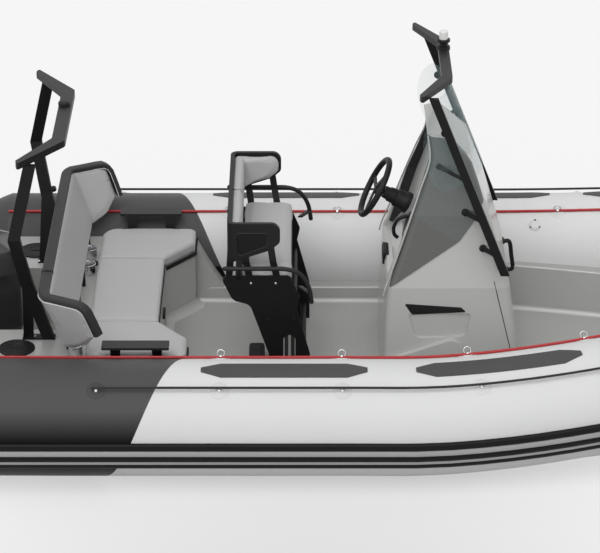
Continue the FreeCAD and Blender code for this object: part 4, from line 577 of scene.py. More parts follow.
tube_fabric, w, shader, where = new_finish("Two-colour tube fabric")
place_on_boat = w.split(where)
out = w.math("SUBTRACT", w.math("ABSOLUTE", place_on_boat["Y"]), SIDE_BREADTH)
up = w.math("SUBTRACT", place_on_boat["Z"], SIDE_HEIGHT)
angle = w.math("MULTIPLY", w.math("ARCTAN2", up, out), 180.0 / math.pi)
wound = w.math("ADD", angle, w.math("MULTIPLY", w.math("LESS_THAN", angle, -90.0), 360.0))
ahead_of_seam = w.math("SUBTRACT", place_on_boat["X"], w.line(wound, SEAM_PER_DEGREE, SEAM_X))
pale_share = w.between(ahead_of_seam, -0.0008, 0.0008)
pale = drifting(w, where, (0.735, 0.742, 0.738), 0.02, 2.0)
# The dark cloth is painted lighter on its upper side. This is a painted highlight in place of the lamp's
# sheen, and below it the cloth keeps its own near-black colour
painted_highlight_tint = drifting(w, where, (0.078, 0.078, 0.079), 0.08, 3.0)
dark_base_tint = drifting(w, where, (0.0050, 0.0050, 0.0052), 0.10, 3.0)
dark = w.mix(w.between(angle, HIGHLIGHT_FROM, HIGHLIGHT_TO), dark_base_tint, painted_highlight_tint)
w.feed(shader, "Base Color", w.mix(pale_share, dark, pale))
mask = grouped(w, rubbed_group, where, Amount=0.4)
w.feed(shader, "Roughness", w.line(mask, 0.3, w.line(pale_share, 0.12, 0.40)))
set_constants(shader, Specular_IOR_Level=0.14)
overlap = w.math("MULTIPLY", w.between(ahead_of_seam, -0.022, -0.0205),
                 w.between(ahead_of_seam, 0.0, 0.0015, 1.0, 0.0))
cloth = grouped(w, weave_group, where, Threads_per_metre=800.0)
bump(w, shader, w.line(cloth, 0.25, overlap), 0.0012)

# %% [markdown]
# ## Non-skid on the sole and decks
# People walk on wet glass fibre, so the flat parts carry a moulded pattern of small raised studs, while
# walls and edges stay smooth and easy to wash. The surface normal tells the two apart.

# %% Deck gelcoat with non-skid
deck_gelcoat, w, shader, where = new_finish("Deck gelcoat with non-skid")
facing = w.split(w.node("ShaderNodeNewGeometry").outputs["Normal"])
flat = w.between(facing["Z"], 0.90, 0.97)
tint = drifting(w, where, (0.39, 0.393, 0.380), 0.06, 2.5)
worn = grouped(w, rubbed_group, where, Direction=(2.0, 2.0, 2.0), Amount=0.6)
walked = w.mix(w.math("MULTIPLY", w.math("MULTIPLY", worn, flat), 0.5), tint, (0.32, 0.32, 0.31, 1))
w.feed(shader, "Base Color", walked)
w.feed(shader, "Roughness", w.line(flat, 0.22, 0.33))
set_constants(shader, Specular_IOR_Level=0.4)
studs = w.between(w.cells(where, 160.0), 0.25, 0.42, 1.0, 0.0)
bump(w, shader, w.math("MULTIPLY", studs, flat), 0.0006)

# %% [markdown]
# ## The console's side panel
# One glossy moulding covers each side of the console. Its upper part is green-grey and its lower part
# is a plainer dark grey, and the two meet along a line that falls forward.

# %% Two-tone console panel
FALL_FROM_X, FALL_SLOPE, FALL_LEVEL = 2.06, 0.62, 1.060

console_panel, w, shader, where = new_finish("Two-tone console panel")
place_on_boat = w.split(where)
forward = w.math("SUBTRACT", place_on_boat["X"], FALL_FROM_X)
fall = w.math("ADD", place_on_boat["Z"], w.math("MULTIPLY", forward, FALL_SLOPE))
upper_tint = drifting(w, where, (0.088, 0.100, 0.096), 0.06, 3.0)
lower_tint = drifting(w, where, (0.084, 0.085, 0.081), 0.05, 3.0)
upper_share = w.between(fall, FALL_LEVEL, FALL_LEVEL + 0.004)
w.feed(shader, "Base Color", w.mix(upper_share, lower_tint, upper_tint))
w.feed(shader, "Roughness", w.line(grouped(w, rubbed_group, where, Amount=0.4), 0.3, 0.24))
set_constants(shader, Coat_Weight=0.5, Coat_Roughness=0.08)
bump(w, shader, grouped(w, grain_group, where, Grains_per_metre=700.0, Pebbles=0.3), 0.00005)

# %% [markdown]
# ## The clear screen
# The screen is a thin, faintly tinted acrylic sheet, and it is clear from straight on and deeper in
# colour along its edges. A full glass shader would bend the view and cast a dark shadow, so the sheet is
# mostly see-through by its alpha, and the alpha grows where the sheet is seen at a low angle.

# %% Clear screen
clear_sheet, w, shader, where = new_finish("Tinted clear sheet")
w.feed(shader, "Base Color", drifting(w, where, (0.30, 0.47, 0.49), 0.02, 3.0))
smear = grouped(w, rubbed_group, where, Direction=(2.0, 2.0, 5.0), Amount=0.5)
w.feed(shader, "Roughness", w.line(smear, 0.12, 0.03))
set_constants(shader, IOR=1.45)
edge_on = w.fed("ShaderNodeLayerWeight", {"Blend": 0.25})["Facing"]
w.feed(shader, "Alpha", w.between(edge_on, 0.0, 1.0, 0.035, 0.22))
print("special finishes ready")

# %% [markdown]
# ## Rope
# The lifeline is a black braid. The braid is two sets of strands that cross, drawn as waves along the
# rope and across it, deep enough to break up the highlight.

# %% Braided rope
rope_braid, w, shader, where = new_finish("Black braided rope")
w.feed(shader, "Base Color", drifting(w, where, (0.012, 0.012, 0.012), 0.3, 40.0))
set_constants(shader, Roughness=0.75, Sheen_Weight=0.1)
bump(w, shader, grouped(w, weave_group, where, Threads_per_metre=160.0), 0.0016)

# %% [markdown]
# ## Finishes for the carried-over solids
# Pieces whose solid already has the right shape stay as they are and only get their finish. The others
# get one too, and are replaced further on.

# %% Finishes by node
NODES_BY_FINISH = (
    (tube_fabric, "buoyancy_tube"), (dark_fabric, "stern_cones"), (black_rubber, "rubbing_strake"),
    (red_rubber, "red_piping"), (rope_braid, "lifeline"), (patch_rubber, "wear_patches"),
    (pale_fitting, "tube_rings tube_valves"), (hull_gelcoat, "hull"),
    (deck_gelcoat, "bow_deck deck_liner"), (gelcoat, "bow_locker_lid stern_moulding"),
    (black_plastic, "deck_caps bench_lid helm_footrest helm_backrest throttle_control light_holder"),
    (black_plastic, "steering_boss steering_wheel"),
    (powder_coat, "backrest_brackets roll_bar_legs helm_side_plates helm_seat_frame windscreen_frame"),
    (dark_powder, "bench_grab_rails roll_bar_crossbar helm_arm_rails windscreen_crossbar"),
    (console_gelcoat, "console_body"), (console_panel, "console_side_panels"),
    (clear_sheet, "windscreen"), (lamp_white, "navigation_light"),
    (cast_paint, "engine_clamp engine_swivel engine_leg engine_powerhead"),
    (engine_paint, "engine_cowl"), (propeller_paint, "propeller"), (steel, "transom_eyes bow_eye"),
    (light_vinyl, "bench_cushion_centre bench_cushions_side bench_backrest helm_seat_cushion"),
    (light_vinyl, "helm_backrest_pads"),
)
finished = 0
for finish, names in NODES_BY_FINISH:
    for name in names.split():
        slots = cad[name].data.materials
        slots.clear()
        slots.append(finish)
        finished += 1
print("nodes with a finish:", finished, "of", len(cad))

# %% [markdown]
# ## The rubbing strake
# A black rubber strake runs round the whole tube where it meets a quay. It has three ribs, and a pale
# strip lies in each of the two hollows between them. Its section never changes, so it is drawn once, by
# angle round the tube and height over the skin, and carried along from one stern round the nose to the other.

# %% Sections carried along the tube
def along_tube(name, sweeps, section):
    """Carry a closed section of (degrees, height over the skin) along the tube."""
    return loft(name, [[on_tube(sweep, a, high)[0] for a, high in section] for sweep in sweeps])


# What stands on the tube starts a little under its skin
SUNK = -0.002
STRAKE = [(2.2, SUNK), (2.2, 0.0080), (1.6, 0.0145), (0.4, 0.0175), (-1.6, 0.0185), (-3.6, 0.0175),
          (-4.8, 0.0150), (-5.3, 0.0085), (-11.9, 0.0085), (-12.3, 0.0140), (-13.2, 0.0160), (-15.0, 0.0165),
          (-17.0, 0.0160), (-17.9, 0.0140), (-18.3, 0.0085), (-22.4, 0.0085), (-22.8, 0.0125),
          (-23.8, 0.0145), (-25.5, 0.0150), (-27.2, 0.0140), (-28.3, 0.0100), (-28.8, SUNK), (-20.0, SUNK),
          (-10.0, SUNK)]
UPPER_STRIP = [(-5.5, 0.0080), (-5.5, 0.0112), (-6.2, 0.0125), (-8.6, 0.0128), (-11.0, 0.0125),
               (-11.7, 0.0112), (-11.7, 0.0080)]
LOWER_STRIP = [(-18.5, 0.0080), (-18.5, 0.0108), (-19.1, 0.0118), (-21.6, 0.0118), (-22.2, 0.0108),
               (-22.2, 0.0080)]
stern_to_nose = [sweep_at(x) for x in (-0.058, 0.3, 0.7, 1.1, 1.5, 1.8, BEND_START)]
stern_to_nose += [math.radians(90.0 * i / 30) for i in range(1, 31)]
whole_way = stern_to_nose + [math.pi - s for s in reversed(stern_to_nose[:-1])]
strake = place(along_tube("Rubbing_strake", whole_way, STRAKE), black_rubber)
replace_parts(strake, "rubbing_strake")
for name, section in (("Strake_line_upper", UPPER_STRIP), ("Strake_line_lower", LOWER_STRIP)):
    place(along_tube(name, whole_way, section), light_rubber)
print("strake:", len(strake.data.polygons), "faces")

# %% [markdown]
# ## Patches, rings and valves on the tube
# Fittings are never screwed to an air tube. Each stands on a round cloth patch that is glued on, with
# a second, smaller patch over its saddle. The ring itself is bright steel wire that stands along the
# tube. Discs follow the skin, so their points are placed by angle and distance along the tube.

# %% Discs that follow the skin
def tube_disc(name, sweep, degrees, profile, count=28):
    """A round pad on the skin. The profile gives (radius, height over the skin) from rim to middle."""
    centre, normal, along = on_tube(sweep, degrees)
    across = normal.cross(along)
    bend = tube_radius(bow_place(sweep))
    rings = []
    for radius, height in profile:
        ring = []
        for i in range(count):
            a = 2 * math.pi * i / count
            side, ahead = radius * math.cos(a), radius * math.sin(a)
            turn = side / bend
            skin = centre + normal * (bend * (math.cos(turn) - 1.0)) + across * (bend * math.sin(turn))
            lifted = normal * math.cos(turn) + across * math.sin(turn)
            ring.append(skin + along * ahead + lifted * height)
        rings.append(ring)
    return loft(name, rings)


PATCH = [(0.0450, SUNK), (0.0450, 0.0010), (0.0440, 0.0016), (0.0250, 0.0018), (0.0245, 0.0030),
         (0.0235, 0.0036), (0.0004, 0.0040)]
SADDLE_HALF_WIDTH, SADDLE_RISE, WIRE_RADIUS = 0.0110, 0.0070, 0.0024


def ring_and_saddle(name, sweep, degrees, lift, size):
    """A steel ring that stands along the tube, in a saddle that crosses it."""
    centre, normal, along = on_tube(sweep, degrees, lift)
    across = normal.cross(along).normalized()
    arch = [math.radians(a) for a in range(0, 181, 15)]
    saddle = swept(name + "_saddle", [centre + across * (SADDLE_HALF_WIDTH * math.cos(a))
                                      + normal * (SADDLE_RISE * math.sin(a)) for a in arch],
                   rounded_box_section(0.012, 0.0024, 0.0011, 2), up=normal)
    middle = centre + normal * (size * 0.86)
    rings = []
    for i in range(28):
        a = 2 * math.pi * i / 28
        radial = along * math.cos(a) + normal * math.sin(a)
        rings.append([middle + radial * (size + p) + across * q for p, q in circle(WIRE_RADIUS, 10)])
    rings.append(rings[0])
    return [saddle, loft(name + "_wire", rings, cap=False)]


# Angle round the tube, lift off the skin, size of the ring and places along the boat
OUTER_ROW = (55.0, 0.004, 0.0125, [0.54, 1.12, 1.70, 2.35, 2.99, 3.60, 4.15])
INNER_ROW = (117.0, 0.0110, 0.0175, [1.12, 1.70, 2.33, 2.92, 3.50])
DARK_TUBE_END = 0.75
pale_discs, dark_discs, steel_rings = [], [], []
for side in SIDES:
    for degrees, lift, size, places in (OUTER_ROW, INNER_ROW):
        for x in places:
            sweep = side_sweep(x, side)
            discs = dark_discs if x < DARK_TUBE_END else pale_discs
            discs.append(tube_disc("patch", sweep, degrees, PATCH))
            steel_rings += ring_and_saddle("ring", sweep, degrees, lift, size)
pale_patches = joined("Ring_patches_pale", pale_discs, pale_fitting, "fitting_grey")
joined("Ring_patches_dark", dark_discs, dark_fabric, "tube_fabric_dark")
joined("Steel_rings", steel_rings, steel, "stainless")
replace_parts(pale_patches, "tube_rings")
print("patches:", len(SIDES) * (len(OUTER_ROW[3]) + len(INNER_ROW[3])))

# %% Valves
VALVE_X, VALVE_ANGLE = 2.80, 134.0
VALVE = [(0.0330, SUNK), (0.0330, 0.0030), (0.0318, 0.0042), (0.0285, 0.0046), (0.0280, 0.0036),
         (0.0262, 0.0036), (0.0256, 0.0062), (0.0240, 0.0070), (0.0120, 0.0066), (0.0004, 0.0064)]
NOTCH = [(-0.0045, -0.004), (0.0045, -0.004), (0.0055, 0.004), (-0.0055, 0.004)]
NOTCH_REACH = 0.0265
valve_parts, valve_notches = [], []
for side in SIDES:
    sweep = side_sweep(VALVE_X, side)
    valve_parts.append(tube_disc("valve", sweep, VALVE_ANGLE, VALVE, 36))
    centre, normal, along = on_tube(sweep, VALVE_ANGLE, 0.0048)
    across = normal.cross(along).normalized()
    for turn in (90, 210, 330):
        a = math.radians(turn)
        outward = along * math.cos(a) + across * math.sin(a)
        tangent = normal.cross(outward)
        spot = centre + outward * NOTCH_REACH
        outline = [spot + tangent * s + outward * t for s, t in NOTCH]
        valve_notches.append(slab("notch", outline, normal, 0.0015))
valves = joined("Valve_caps", valve_parts, pale_fitting, "fitting_grey")
joined("Valve_notches", valve_notches, black_rubber, "black_plastic")
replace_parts(valves, "tube_valves")

# %% [markdown]
# ## Cushions
# A boat cushion is foam in vinyl. The foam pushes the cover out, so its faces are slightly crowned and
# its edges round, and that can't be drawn well by hand. Each cushion starts as its own solid, a little
# smaller, is remeshed into an even skin, and is then blown up with cloth simulation. The movement is
# capped, so that no cushion swells into its neighbour. Seams are laid on the skin afterwards.

# %% Make the skins
def even_skin(name, node, voxel, shrink):
    """The solid's mesh, welded, drawn in and remeshed into even squares."""
    source = cad[node].data.copy()
    obj = bpy.data.objects.new(name, source)
    bpy.context.scene.collection.objects.link(obj)
    weld = obj.modifiers.new("Weld", "WELD")
    weld.merge_threshold = 0.0002
    draw_in = obj.modifiers.new("Draw in", "DISPLACE")
    draw_in.mid_level = 0.0
    draw_in.strength = -shrink
    remesh = obj.modifiers.new("Even skin", "REMESH")
    remesh.mode = "VOXEL"
    remesh.voxel_size = voxel
    return baked(obj)


def coordinates_of(mesh):
    """The places of all points, one row each."""
    found = np.empty(len(mesh.vertices) * 3)
    mesh.vertices.foreach_get("co", found)
    return found.reshape(-1, 3)


CLOTH_FRAMES = 20


def start_cloth(obj):
    """Foam that pushes outward, with no weight and nothing to bump into."""
    cloth = obj.modifiers.new("Stuffing", "CLOTH")
    cloth.settings.quality = 4
    cloth.settings.mass = 0.3
    cloth.settings.use_pressure = True
    cloth.settings.uniform_pressure_force = 4.0
    cloth.settings.effector_weights.gravity = 0.0
    cloth.settings.bending_stiffness = 2.0
    cloth.collision_settings.use_collision = False
    cloth.point_cache.frame_start = 1
    cloth.point_cache.frame_end = CLOTH_FRAMES


# Name, node, voxel, how far it is drawn in, the most it may swell along x, y and z, and subdivision
CUSHIONS = [
    ("Bench_cushion_centre", "bench_cushion_centre", 0.0060, 0.0022, (0.0022, 0.0022, 0.0085), False),
    ("Bench_cushions_side", "bench_cushions_side", 0.0060, 0.0022, (0.0022, 0.0022, 0.0085), False),
    ("Bench_backrest", "bench_backrest", 0.0065, 0.0030, (0.0080, 0.0060, 0.0030), False),
    ("Helm_seat_cushion", "helm_seat_cushion", 0.0050, 0.0030, (0.0030, 0.0028, 0.0160), False),
    ("Helm_backrest_pads", "helm_backrest_pads", 0.0045, 0.0030, (0.0120, 0.0100, 0.0050), True),
]
skins = {}
for name, node, voxel, shrink, cap, finer in CUSHIONS:
    skins[name] = even_skin(name, node, voxel, shrink)
for skin in skins.values():
    start_cloth(skin)
for step in range(1, CLOTH_FRAMES + 1):
    bpy.context.scene.frame_set(step)
graph = bpy.context.evaluated_depsgraph_get()
for name, node, voxel, shrink, cap, finer in CUSHIONS:
    obj = skins[name]
    start = coordinates_of(obj.data)
    blown = start
    blown = coordinates_of(obj.evaluated_get(graph).data)
    moved = np.clip(blown - start, -np.array(cap), np.array(cap))
    obj.modifiers.clear()
    obj.data.vertices.foreach_set("co", (start + moved).ravel())
    obj.data.update()
    smooth = obj.modifiers.new("Even out", "SMOOTH")
    smooth.factor = 0.5
    smooth.iterations = 3
    if finer:
        subdivision = obj.modifiers.new("Finer", "SUBSURF")
        subdivision.render_levels = 1
        subdivision.levels = 1
    baked(obj)
    place(obj, light_vinyl, "bench_lid" if node == "bench_cushion_centre" else "boat")
    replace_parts(obj, node)
    print(f"{name}: {len(obj.data.polygons)} faces, moved up to {np.abs(moved).max() * 1000:.1f} mm")
bpy.context.scene.frame_set(1)

# %% [markdown]
# ## Seams
# Where two panels of vinyl are sewn, a welt stands up a little and the skin dips beside it. The welts
# are thin cords laid on the finished skin: each point of a drawn line is moved to the nearest point of
# the cushion, so that a welt follows its crown.

# %% Welts laid on a cushion
def surface_tree(mesh):
    """A mesh that can be asked for its nearest point, or for where a line meets it."""
    faces = [tuple(p.vertices) for p in mesh.polygons]
    return BVHTree.FromPolygons([v.co.copy() for v in mesh.vertices], faces)


WELT_RADIUS, WELT_STEP = 0.0022, 0.02


def welt(name, tree, line, closed=True):
    """A cord along a line, moved onto the skin and sunk in a little."""
    line = [Vector(p) for p in line]
    fine = []
    pairs = zip(line, line[1:] + line[:1]) if closed else zip(line, line[1:])
    for a, b in pairs:
        steps = max(int((b - a).length / WELT_STEP), 1)
        fine += [a.lerp(b, i / steps) for i in range(steps)]
    if not closed:
        fine.append(line[-1])
    laid = []
    for p in fine:
        spot, normal, _, _ = tree.find_nearest(p)
        laid.append(spot - normal * WELT_RADIUS * 0.4)
    return swept(name, laid, circle(WELT_RADIUS, 8), closed=closed)


def plan_line(points, radius, inset, height):
    """A rounded outline in plan at one height, drawn in by an inset towards its middle."""
    rounded = round_corners(points, radius)
    middle = sum(rounded, Vector((0.0, 0.0))) / len(rounded)
    drawn_in = [Vector(((middle - p).normalized() * inset).to_3d()) for p in rounded]
    return [Vector((p.x, p.y, height)) + shift for p, shift in zip(rounded, drawn_in)]


SIDE_CUSHION = [(0.452, 0.3675), (0.800, 0.3675), (0.950, 0.560), (0.950, 0.694), (0.900, 0.744),
                (0.522, 0.744), (0.452, 0.674)]
CENTRE_CUSHION = rectangle(0.452, -0.3625, 0.800, 0.3625)
HELM_CUSHION = rectangle(1.218, -0.405, 1.460, 0.405)
BENCH_WELT_HEIGHT, HELM_WELT_HEIGHT = 0.512, 0.825
centre_tree = surface_tree(skins["Bench_cushion_centre"].data)
centre_line = plan_line(CENTRE_CUSHION, 0.008, 0.010, BENCH_WELT_HEIGHT)
centre_welt = welt("Bench_centre_welt", centre_tree, centre_line)
place(centre_welt, light_vinyl, "bench_lid")
welts = []
side_tree = surface_tree(skins["Bench_cushions_side"].data)
for side in SIDES:
    outline = mirrored(SIDE_CUSHION, side)
    welts.append(welt("welt", side_tree, plan_line(outline, 0.012, 0.010, BENCH_WELT_HEIGHT)))
helm_tree = surface_tree(skins["Helm_seat_cushion"].data)
welts.append(welt("welt", helm_tree, plan_line(HELM_CUSHION, 0.030, 0.022, HELM_WELT_HEIGHT)))
welts.append(welt("welt", helm_tree, [(x, 0.0, 0.83) for x in (1.235, 1.36, 1.452)], closed=False))
joined("Cushion_welts", welts, light_vinyl, "cushion_light")
print("welts laid")

# %% [markdown]
# ## The backrest's dark band
# The bench's backrest is pale inside and out, with a dark band over its top and down the front ends of
# its wings. The band is a strip of thicker vinyl that closes the cover, sewn on as the last panel. Here
# one section is carried along the top and over each wing's shoulder to its tip, and a light welt marks
# the seam on its outer edge.

# %% The edge that the band follows
BACK_LOW, BACK_TOP, BACK_THICK = 0.543, 0.840, 0.050
BAND_HEIGHT, CORNER_Y = 0.838, 0.700
# Each pair is the value at BACK_LOW and how much it grows up to BACK_TOP
AFT_FACE, HALF_WIDTH = (0.355, -0.110), (0.725, 0.055)
WING_FRONT, WING_HALF_WIDTH = (0.568, -0.096), (0.845, 0.055)


def wing_plane(height):
    """The backrest's outer line at one height: its aft face, half-width and the wing's front end."""
    share = (height - BACK_LOW) / (BACK_TOP - BACK_LOW)
    return [low + growth * share for low, growth in (AFT_FACE, HALF_WIDTH, WING_FRONT, WING_HALF_WIDTH)]


def wing_middle(x, height):
    """The middle of the port wing's thickness, and the direction out of its face."""
    aft, half, front, wide = wing_plane(height)
    along = Vector((front - aft, wide - half, 0.0)).normalized()
    outward = Vector((-along.y, along.x, 0.0))
    on_face = Vector((x, half + (wide - half) * (x - aft) / (front - aft), height))
    return on_face - outward * (BACK_THICK / 2) / outward.y * 0.94, outward


def band_edge():
    """Points along the band with the outward direction at each, from the port tip to starboard."""
    side_view = [(0.527, 0.666), (0.516, 0.700), (0.497, 0.755), (0.480, 0.800), (0.464, 0.822),
                 (0.440, 0.836), (0.410, BAND_HEIGHT), (0.370, BAND_HEIGHT), (0.320, BAND_HEIGHT)]
    wing = [wing_middle(x, height) for x, height in side_view]
    aft = 0.245 + BACK_THICK / 2
    turn_from = Vector((0.300, wing_middle(0.300, BAND_HEIGHT)[0].y, BAND_HEIGHT))
    corner = Vector((aft, 0.752, BAND_HEIGHT))
    turn_to = Vector((aft, CORNER_Y, BAND_HEIGHT))
    first, last = wing[-1][1], Vector((-1.0, 0.0, 0.0))
    for i in range(1, 9):
        t = i / 8
        spot = turn_from * (1 - t) ** 2 + corner * 2 * t * (1 - t) + turn_to * t * t
        wing.append((spot, first.lerp(last, t).normalized()))
    middle = [(Vector((aft, CORNER_Y - 0.1 * i, BAND_HEIGHT)), last) for i in range(1, 14)]
    other = [(Vector((p.x, -p.y, p.z)), Vector((n.x, -n.y, n.z))) for p, n in reversed(wing)]
    return wing + middle + other


def edge_sweep(name, edge, section):
    """Carry a section of (out of the face, above the edge) offsets along the band's edge."""
    rings = []
    for i, (p, outward) in enumerate(edge):
        ahead = (edge[min(i + 1, len(edge) - 1)][0] - edge[max(i - 1, 0)][0]).normalized()
        above = outward.cross(ahead).normalized()
        if above.dot(UP + AHEAD / 2) < 0:
            above = -above
        rings.append([p + outward * a + above * b for a, b in section])
    return loft(name, rings)


edge = band_edge()
band_section = [(a, b - 0.006) for a, b in rounded_box_section(0.0545, 0.026, 0.008, 4)]
band = place(edge_sweep("Backrest_band", edge, band_section), dark_vinyl)
outer_welt = edge_sweep("outer", edge, [(0.0272 + a, -0.0190 + b) for a, b in circle(0.0034, 8)])
inner_welt = edge_sweep("inner", edge, [(-0.0272 + a, -0.0185 + b) for a, b in circle(0.0020, 8)])
joined("Backrest_welts", [outer_welt, inner_welt], welt_vinyl, "cushion_light")

# %% Joint and slots of the backrest
JOINT_Y = -0.502
joint_line = [(0.2415, 0.826), (0.2430, 0.8440), (0.270, 0.8475), (0.297, 0.8440), (0.2985, 0.826)]
joint_marks = [swept("joint", [(x, JOINT_Y, z) for x, z in joint_line],
                     rounded_box_section(0.005, 0.004, 0.0015, 2), up=ACROSS)]
slit = round_corners(rectangle(-0.026, -0.004, 0.026, 0.004), 0.004)
lean = Vector((0.937, 0.0, 0.347))
for side in SIDES:
    spot = Vector((0.3065, 0.350 * side, 0.809))
    outline = [spot + Vector((-p.y * lean.z, p.x, p.y * lean.x)) for p in slit]
    joint_marks.append(slab("slit", outline, lean, 0.003, 0.001))
joined("Backrest_joints", joint_marks, black_rubber, "black_plastic")
print("backrest band:", len(band.data.polygons), "faces")

# %% [markdown]
# ## Trim at the stern
# A strip of black rubber edges the moulding under the side cushions. Drink holders with bright rims
# stand beside the backrest. Two round hatch covers with a recessed handle give access to the tanks, and
# a pale cove joins the moulding to the sole.

# %% Edge strip and latch
STRIP = [(0.802, 0.372, 0.446), (0.950, 0.560, 0.446), (0.951, 0.735, 0.446)]
trims = []
for side in SIDES:
    trims.append(swept("edge", mirrored(STRIP, side), rounded_box_section(0.010, 0.022, 0.003, 3)))
latch = [(x, y, 0.476) for x, y in rectangle(0.430, 0.338, 0.449, 0.362)]
trims.append(slab("latch", latch, UP, 0.022, 0.004))
joined("Bench_edge_trim", trims, black_rubber, "black_plastic")

# %% Drink holders, hatch covers and locker handle
HOLDER = [(0.0005, 0.456), (0.0330, 0.456), (0.0340, 0.460), (0.0345, 0.508), (0.0385, 0.511),
          (0.0390, 0.515), (0.0345, 0.516), (0.0325, 0.512), (0.0320, 0.465), (0.0005, 0.462)]
COVER = [(0.0890, -0.007), (0.0890, 0.0000), (0.0860, 0.0018), (0.0800, 0.0020), (0.0790, 0.0006),
         (0.0700, 0.0006), (0.0690, 0.0022), (0.0420, 0.0028), (0.0400, 0.0010), (0.0004, 0.0010)]
holder_places = ((0.400, 0.481), (0.405, 0.289), (0.405, -0.640))
holders = [turned("holder", HOLDER, (x, y, 0.0), UP) for x, y in holder_places]
joined("Drink_holders", holders, steel, "stainless")
covers = []
grip = round_corners(rectangle(-0.030, -0.009, 0.030, 0.009), 0.009)
for side in SIDES:
    centre = Vector((0.110, 0.570 * side, 0.462))
    covers.append(turned("cover", COVER, centre, UP, 48))
    covers.append(slab("grip", [centre + Vector((p.x, p.y, 0.0005)) for p in grip], UP, 0.0035, 0.001))
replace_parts(joined("Hatch_covers", covers, black_plastic, "black_plastic"), "deck_caps")
handle = round_corners(rectangle(-0.048, -0.016, 0.048, 0.016), 0.016)
handle_outline = [(0.796, 0.090 + p.x, 0.325 + p.y) for p in handle]
place(slab("Locker_handle", handle_outline, (1, 0, 0), 0.012, 0.004), black_plastic)

# %% Coves where walls meet the sole
def cove(name, line, reach, inward):
    """A hollow quarter round along a line on the sole; inward points from the wall to the sole."""
    rings = []
    for p, away in zip(line, inward):
        p, away = Vector(p), Vector(away).normalized()
        ring = [p - away * 0.004 - UP * 0.004]
        for i in range(7):
            a = math.radians(90.0 * i / 6)
            ring.append(p + away * reach * (1 - math.sin(a)) + UP * (reach * (1 - math.cos(a))))
        rings.append(ring)
    return loft(name, rings)


SOLE, SOLE_AFT, SOLE_FORWARD = 0.140, 0.96, 3.28


def sole_half(x):
    """Half the width of the sole between the side walls."""
    return half_breadth(x) - 0.374 - 0.038 * max(x - BEND_START, 0.0)


STERN_LINE = [(0.9495, -0.640), (0.9495, -0.5605), (0.7985, -0.3655), (0.7985, 0.3655), (0.9495, 0.5605),
              (0.9495, 0.640)]
STERN_AWAY = [(1, 0, 0), (1, 0.45, 0), (1, 0.30, 0), (1, -0.30, 0), (1, -0.45, 0), (1, 0, 0)]
coves = [cove("cove", [(x, y, SOLE) for x, y in STERN_LINE], 0.045, STERN_AWAY)]
side_stations = [SOLE_AFT + (SOLE_FORWARD - SOLE_AFT) * i / 24 for i in range(25)]
for side in SIDES:
    line = [(x, (sole_half(x) + 0.0005) * side, SOLE) for x in side_stations]
    coves.append(cove("cove", line, 0.022, [(0, -side, 0)] * len(line)))
joined("Sole_coves", coves, cove_gelcoat, "moulding_grey")

# %% Rounded ridge on the side flanges
def flange_ridge(x):
    """The height of the side flange's top, which steps up where the bow begins."""
    share = min(max((x - 2.2) / 0.45, 0.0), 1.0)
    return 0.210 + 0.150 * share * share * (3.0 - 2.0 * share)


RIDGE_AFT, RIDGE_FORWARD = 1.02, 3.27
ridges = []
for side in SIDES:
    line = []
    for i in range(33):
        x = RIDGE_AFT + (RIDGE_FORWARD - RIDGE_AFT) * i / 32
        top = flange_ridge(x)
        inner = sole_half(x) + 0.016 * (top - SOLE) / 0.070
        line.append((x, (inner + 0.006) * side, top - 0.002))
    ridges.append(swept("ridge", line, circle(0.008, 10)))
joined("Flange_ridges", ridges, cove_gelcoat, "moulding_grey")
print("stern trim, coves and ridges placed")

# %% [markdown]
# ## Helm seat
# Two people stand or sit astride behind the wheel. The black wrap has a moulded panel on each wing, the
# side plates are bolted with bright domed bolts, and the foot block is ribbed so that wet shoes grip.
# Two tubes stand behind the slot in each leg.

# %% Wing panels, bolts and ribs
PANEL = round_corners([(1.193, 1.026), (1.342, 1.026), (1.338, 0.956), (1.199, 0.901)], 0.016)
WING_FACE, PLATE_FACE = 0.4575, 0.420
BRIGHT_BOLTS = ((1.259, 0.741), (1.380, 0.741))
DULL_BOLTS = ((1.340, 0.540), (1.470, 0.540), (1.515, 0.225), (1.150, 0.720))
rims, insets, bright, dull, leg_tubes = [], [], [], [], []
for side in SIDES:
    rims.append(swept("rim", [(p.x, WING_FACE * side, p.y) for p in PANEL], circle(0.0026, 8), closed=True))
    inset_line = [(p.x, (WING_FACE - 0.0013) * side, p.y) for p in PANEL]
    insets.append(slab("inset", inset_line, (0, side, 0), 0.0008))
    bright += [bolt("bolt", (x, PLATE_FACE * side, z), (0, side, 0), 0.0065, False) for x, z in BRIGHT_BOLTS]
    dull += [bolt("bolt", (x, PLATE_FACE * side, z), (0, side, 0), 0.007) for x, z in DULL_BOLTS]
    for x in (1.4325, 1.4640):
        upright = [(x, 0.398 * side, z) for z in (0.1405, 0.30, 0.525)]
        leg_tubes.append(swept("tube", upright, circle(0.0095, 14), up=AHEAD))
joined("Helm_wing_rims", rims, dark_vinyl, "black_plastic")
joined("Helm_wing_insets", insets, powder_coat, "black_plastic")
joined("Helm_bright_bolts", bright, steel, "stainless")
joined("Helm_dull_bolts", dull, powder_coat, "black_metal")
joined("Helm_leg_tubes", leg_tubes, cast_paint, "black_metal")

